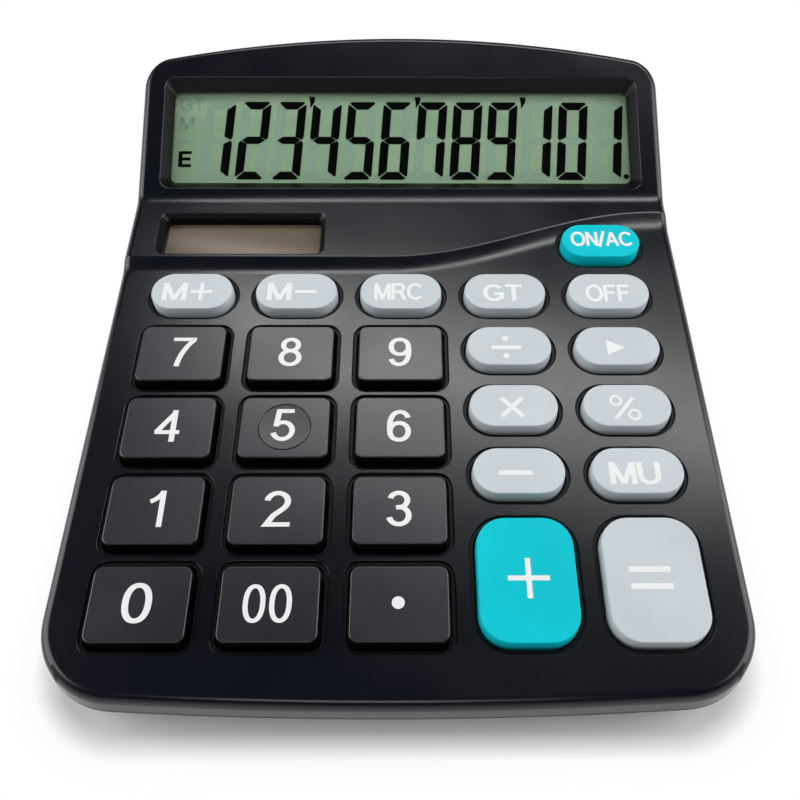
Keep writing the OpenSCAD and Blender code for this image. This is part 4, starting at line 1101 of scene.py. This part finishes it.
# A digit's width and height, the thickness and gap of its segments, and its slant
SEG_W, SEG_H, SEG_T, SEG_GAP, SLANT = 6.7, 19.4, 1.95, 0.2, 0.069
SEG_X0, SEG_PITCH, SEG_Y = -42.2, 8.16, 15.9
TICK_X, TICK_Y, POINT_X, POINT_Y, POINT_R = 5.1, 25.45, 3.93, 7.1, 0.62
TICK = [(-0.65, 1.45), (0.75, 1.45), (0.65, 0.1), (-0.4, -1.6), (-0.35, -0.1)]
TICKS_AFTER = (2, 5, 8)
LIT_LIFT, IDLE_LIFT = 0.05, 0.03


def flat_segment(y, up):
    """Top or bottom segment: a trapezium with its long side outside and its tips cut."""
    w, g, tip = SEG_W / 2, SEG_GAP / 2, 0.4
    long, short = w - g - 0.3, w - g - SEG_T
    return [(tip - long, y), (long - tip, y), (long, y - up * tip), (short, y - up * SEG_T),
            (-short, y - up * SEG_T), (-long, y - up * tip)]


def middle_segment():
    w, g, half = SEG_W / 2, SEG_GAP / 2, SEG_T * 0.47
    tip, shoulder = w - 0.55 - g, w - SEG_T - g + 0.1
    return [(-tip, 0), (-shoulder, half), (shoulder, half), (tip, 0), (shoulder, -half), (-shoulder, -half)]


def side_segment(sx, sy):
    w, h, g = SEG_W / 2, SEG_H / 2, SEG_GAP / 2
    pts = [(w, h - 0.9 - g), (w, 0.6 + g), (w - 0.42, g), (w - SEG_T, SEG_T * 0.42 + g),
           (w - SEG_T, h - SEG_T - g), (w - 0.25, h - 0.62 - g)]
    return [(sx * x, sy * y) for x, y in pts]


SEGMENTS = {"a": flat_segment(SEG_H / 2, 1), "d": flat_segment(-SEG_H / 2, -1), "g": middle_segment(),
            "b": side_segment(1, 1), "c": side_segment(1, -1), "e": side_segment(-1, -1),
            "f": side_segment(-1, 1)}


def on_display(x, y, lift):
    return head(x, y, -LCD_DEPTH + lift)


def flat_shape(pts, dx, dy, lift):
    """One face on the display glass, turned up."""
    area = sum(a[0] * b[1] - b[0] * a[1] for a, b in zip(pts, pts[1:] + pts[:1]))
    pts = pts if area > 0 else pts[::-1]
    return [on_display(x + dx, y + dy, lift) for x, y in pts], [tuple(range(len(pts)))]


def flat_word(strips, lift):
    shapes = []
    for left, right, closed in strips:
        shapes.append(([on_display(x, y, lift) for x, y in left + right], ink_faces(0, left, closed)))
    return shapes


def digits(lit):
    """The lit or the idle segments of all digits."""
    shapes, lift = [], LIT_LIFT if lit else IDLE_LIFT
    for i, ch in enumerate(SHOWN):
        for name, pts in SEGMENTS.items():
            if (name in LIT[ch]) == lit:
                slanted = [(x + SLANT * y, y) for x, y in pts]
                shapes.append(flat_shape(slanted, SEG_X0 + SEG_PITCH * i, SEG_Y, lift))
    return shapes


def points(places, lift):
    dot = [(POINT_R * cos(a * pi / 8), POINT_R * sin(a * pi / 8)) for a in range(16)]
    return [flat_shape(dot, SEG_X0 + SEG_PITCH * i + POINT_X, POINT_Y, lift) for i in places]


def build_display():
    last = len(SHOWN) - 1
    ticks = [flat_shape(TICK, SEG_X0 + SEG_PITCH * i + TICK_X, TICK_Y, LIT_LIFT) for i in TICKS_AFTER]
    error_sign = letters("E", 3.7, (0.1, 0.1), 2.9, -49.4, 11.2)
    idle_signs = (letters("GT", 3.2, (0.09, 0.09), 5.6, -48.4, 24.9, 0.12)
                  + letters("M", 3.0, (0.1, 0.09), 3.2, -49.4, 20.1) + [bar(-51.0, 15.6, -47.6, 15.6, 0.5)])
    lit = digits(True) + ticks + points([last], LIT_LIFT) + flat_word(error_sign, LIT_LIFT)
    idle = digits(False) + points(range(last), IDLE_LIFT) + flat_word(idle_signs, IDLE_LIFT)
    for name, shapes, material in (("display_digits", lit, SEGMENT), ("display_idle", idle, GHOST)):
        obj = make(name, *gather(shapes), [material])
        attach(obj, "case")


# ---- carried-over CAD nodes ----
def dress(node, material):
    """Give a CAD node its material and smooth shading; its shape stays."""
    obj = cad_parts[node]
    mesh = obj.data
    mesh.materials.clear()
    mesh.materials.append(material)
    mesh.polygons.foreach_set("material_index", [0] * len(mesh.polygons))
    obj.modifiers.new("weld", "WELD").merge_threshold = 2e-6
    shade(obj)


build_housing()
for key in KEYS:
    build_key(key)
build_display()
DRESSED = (
    ("rear_case battery_door", CASE_LOW),
    ("display_window", pane()),
    ("lcd_panel", lcd_glass()),
    ("solar_cell", solar()),
    ("lcd_ribbon", plain("ribbon_film", (0.45, 0.19, 0.04), 0.3)),
    ("solar_leads battery_leads", plain("lead_insulation", (0.4, 0.03, 0.02), 0.45)),
    ("keypad_mat", silicone()),
    ("main_board", laminate()),
    ("controller_chip", plain("epoxy", (0.01, 0.01, 0.011), 0.4)),
    ("capacitor", plain("capacitor_sleeve", (0.02, 0.035, 0.12), 0.3)),
    ("board_screws case_screws", STEEL),
    ("battery_cell", cell_jacket()),
    ("battery_spring battery_plate", PLATED),
    ("front_left_foot front_right_foot rear_left_foot rear_right_foot", RUBBER),
)
for nodes, material in DRESSED:
    for node in nodes.split():
        dress(node, material)


# ---- stage, light and camera ----
FLOOR_HALF, FLOOR_COLOR = 3000, (0.95, 0.945, 0.94, 1)
# How white the floor is seen, from the object's edge to SHADOW_REACH mm away from it
SHADOW_REACH = 40
FLOOR_WHITE = ((0.0, 0.02), (0.05, 0.35), (0.11, 0.9), (0.25, 1.0))
# The world's level at heights from straight down (-1) to straight up (1)
WORLD_LEVELS = ((-1.0, 0.5), (0.0, 0.7), (0.2, 0.65), (0.45, 0.035), (1.0, 0.035))
# The lamps' distance from the point they face, and that point, in metres
LAMP_AWAY, AIM = 0.75, (0, 0, 0.02)

# The camera, fitted to the photo: its pitch, yaw and roll against the keypad, and its place on it
PITCH, YAW, ROLL = math.radians(58.03), math.radians(0.91), math.radians(0.75)
EYE = keypad(1.144, -77.72, 135.48)
IMAGE_PX, FOCAL_PX, SHIFT_PX = 800, 838.53, -13.44
SENSOR = 36


def greys(stops):
    return [(place, (level, level, level)) for place, level in stops]


class Floor(Tree):
    """Shaded close to the object, so that its shadow stays, and evenly white away from it."""

    def __init__(self):
        self.mat = bpy.data.materials.new("floor")
        super().__init__(self.mat)
        self.tree.nodes.clear()
        white = self.ramp(self.beside_object(), greys(FLOOR_WHITE))
        diffuse = self.node("BsdfDiffuse")
        self.feed(diffuse.inputs["Color"], FLOOR_COLOR)
        mix = self.node("MixShader")
        self.feed(mix.inputs["Fac"], self.math("MULTIPLY", self.seen_directly(), white))
        self.feed(mix.inputs[1], diffuse.outputs[0])
        self.feed(mix.inputs[2], self.node("Emission").outputs[0])
        self.feed(self.node("OutputMaterial").inputs["Surface"], mix.outputs[0])

    def seen_directly(self):
        """1 for camera, mirror and see-through rays, 0 for the light that falls on things."""
        path = self.node("LightPath").outputs
        straight = self.math("MAXIMUM", path["Is Camera Ray"], path["Is Glossy Ray"])
        return self.math("MAXIMUM", straight, path["Is Transmission Ray"])

    def beside_object(self):
        """Share of SHADOW_REACH between the object's rounded outline and a place on the floor."""
        place, away = self.xyz(), []
        for axis, half in (("X", BODY_W / 2), ("Y", BODY_D / 2)):
            edge = (half - FRONT_R) * MM
            beyond = self.math("SUBTRACT", self.math("ABSOLUTE", place[axis]), edge)
            beyond = self.math("MAXIMUM", beyond, 0.0)
            away.append(self.math("MULTIPLY", beyond, beyond))
        distance = self.math("SQRT", self.math("ADD", *away))
        return self.range(distance, FRONT_R * MM, (FRONT_R + SHADOW_REACH) * MM, 0.0, 1.0)


def build_floor():
    s = FLOOR_HALF
    corners = [(-s, -s, 0), (s, -s, 0), (s, s, 0), (-s, s, 0)]
    floor = make("floor", corners, [(0, 1, 2, 3)], [Floor().mat])


def build_world():
    """A pale band round the horizon under a dim ceiling, the same for every ray."""
    world = bpy.data.worlds.new("world")
    bpy.context.scene.world = world
    nodes = Tree(world)
    nodes.tree.nodes.clear()
    height = nodes.range(nodes.xyz("Generated")["Z"], -1.0, 1.0, 0.0, 1.0)
    level = nodes.ramp(height, greys([((z + 1) / 2, level) for z, level in WORLD_LEVELS]))
    sky = nodes.node("Background")
    nodes.feed(sky.inputs["Color"], level)
    nodes.feed(nodes.node("OutputWorld").inputs["Surface"], sky.outputs[0])


def lamp(name, azimuth, elevation, size, power):
    """A soft box aimed at the object; azimuth 0 stands behind it and 90 to its right."""
    data = bpy.data.lights.new(name, "AREA")
    data.shape = "RECTANGLE"
    data.size, data.size_y = size
    data.energy = power
    obj = bpy.data.objects.new(name, data)
    bpy.context.scene.collection.objects.link(obj)
    a, e = math.radians(azimuth), math.radians(elevation)
    target = Vector(AIM)
    obj.location = target + LAMP_AWAY * Vector((sin(a) * cos(e), cos(a) * cos(e), sin(e)))
    obj.rotation_euler = (target - obj.location).to_track_quat("-Z", "Y").to_euler()


def build_camera():
    forward = Vector((sin(YAW) * cos(PITCH), cos(YAW) * cos(PITCH), -sin(PITCH)))
    level_right = Vector((cos(YAW), -sin(YAW), 0))
    level_up = level_right.cross(forward)
    right = level_right * cos(ROLL) + level_up * sin(ROLL)
    up = level_up * cos(ROLL) - level_right * sin(ROLL)
    turn = Matrix.Rotation(TILT, 3, "X")
    data = bpy.data.cameras.new("camera")
    data.sensor_width = SENSOR
    data.lens = FOCAL_PX * SENSOR / IMAGE_PX
    data.shift_x = SHIFT_PX / IMAGE_PX
    data.clip_start, data.clip_end = 0.005, 10
    cam = bpy.data.objects.new("camera", data)
    bpy.context.scene.collection.objects.link(cam)
    basis = Matrix((turn @ right, turn @ up, -(turn @ forward))).transposed().to_4x4()
    basis.translation = Vector(EYE) * MM
    cam.matrix_world = basis
    bpy.context.scene.camera = cam


build_floor()
build_world()
lamp("sheen", 14, 62, (0.66, 0.1), 1.85)
lamp("front", 186, 52, (0.3, 0.08), 0.45)
lamp("left", 272, 30, (0.6, 0.6), 3.5)
lamp("right", 88, 30, (0.6, 0.6), 3.5)
build_camera()
bpy.context.scene.view_settings.view_transform = "Standard"
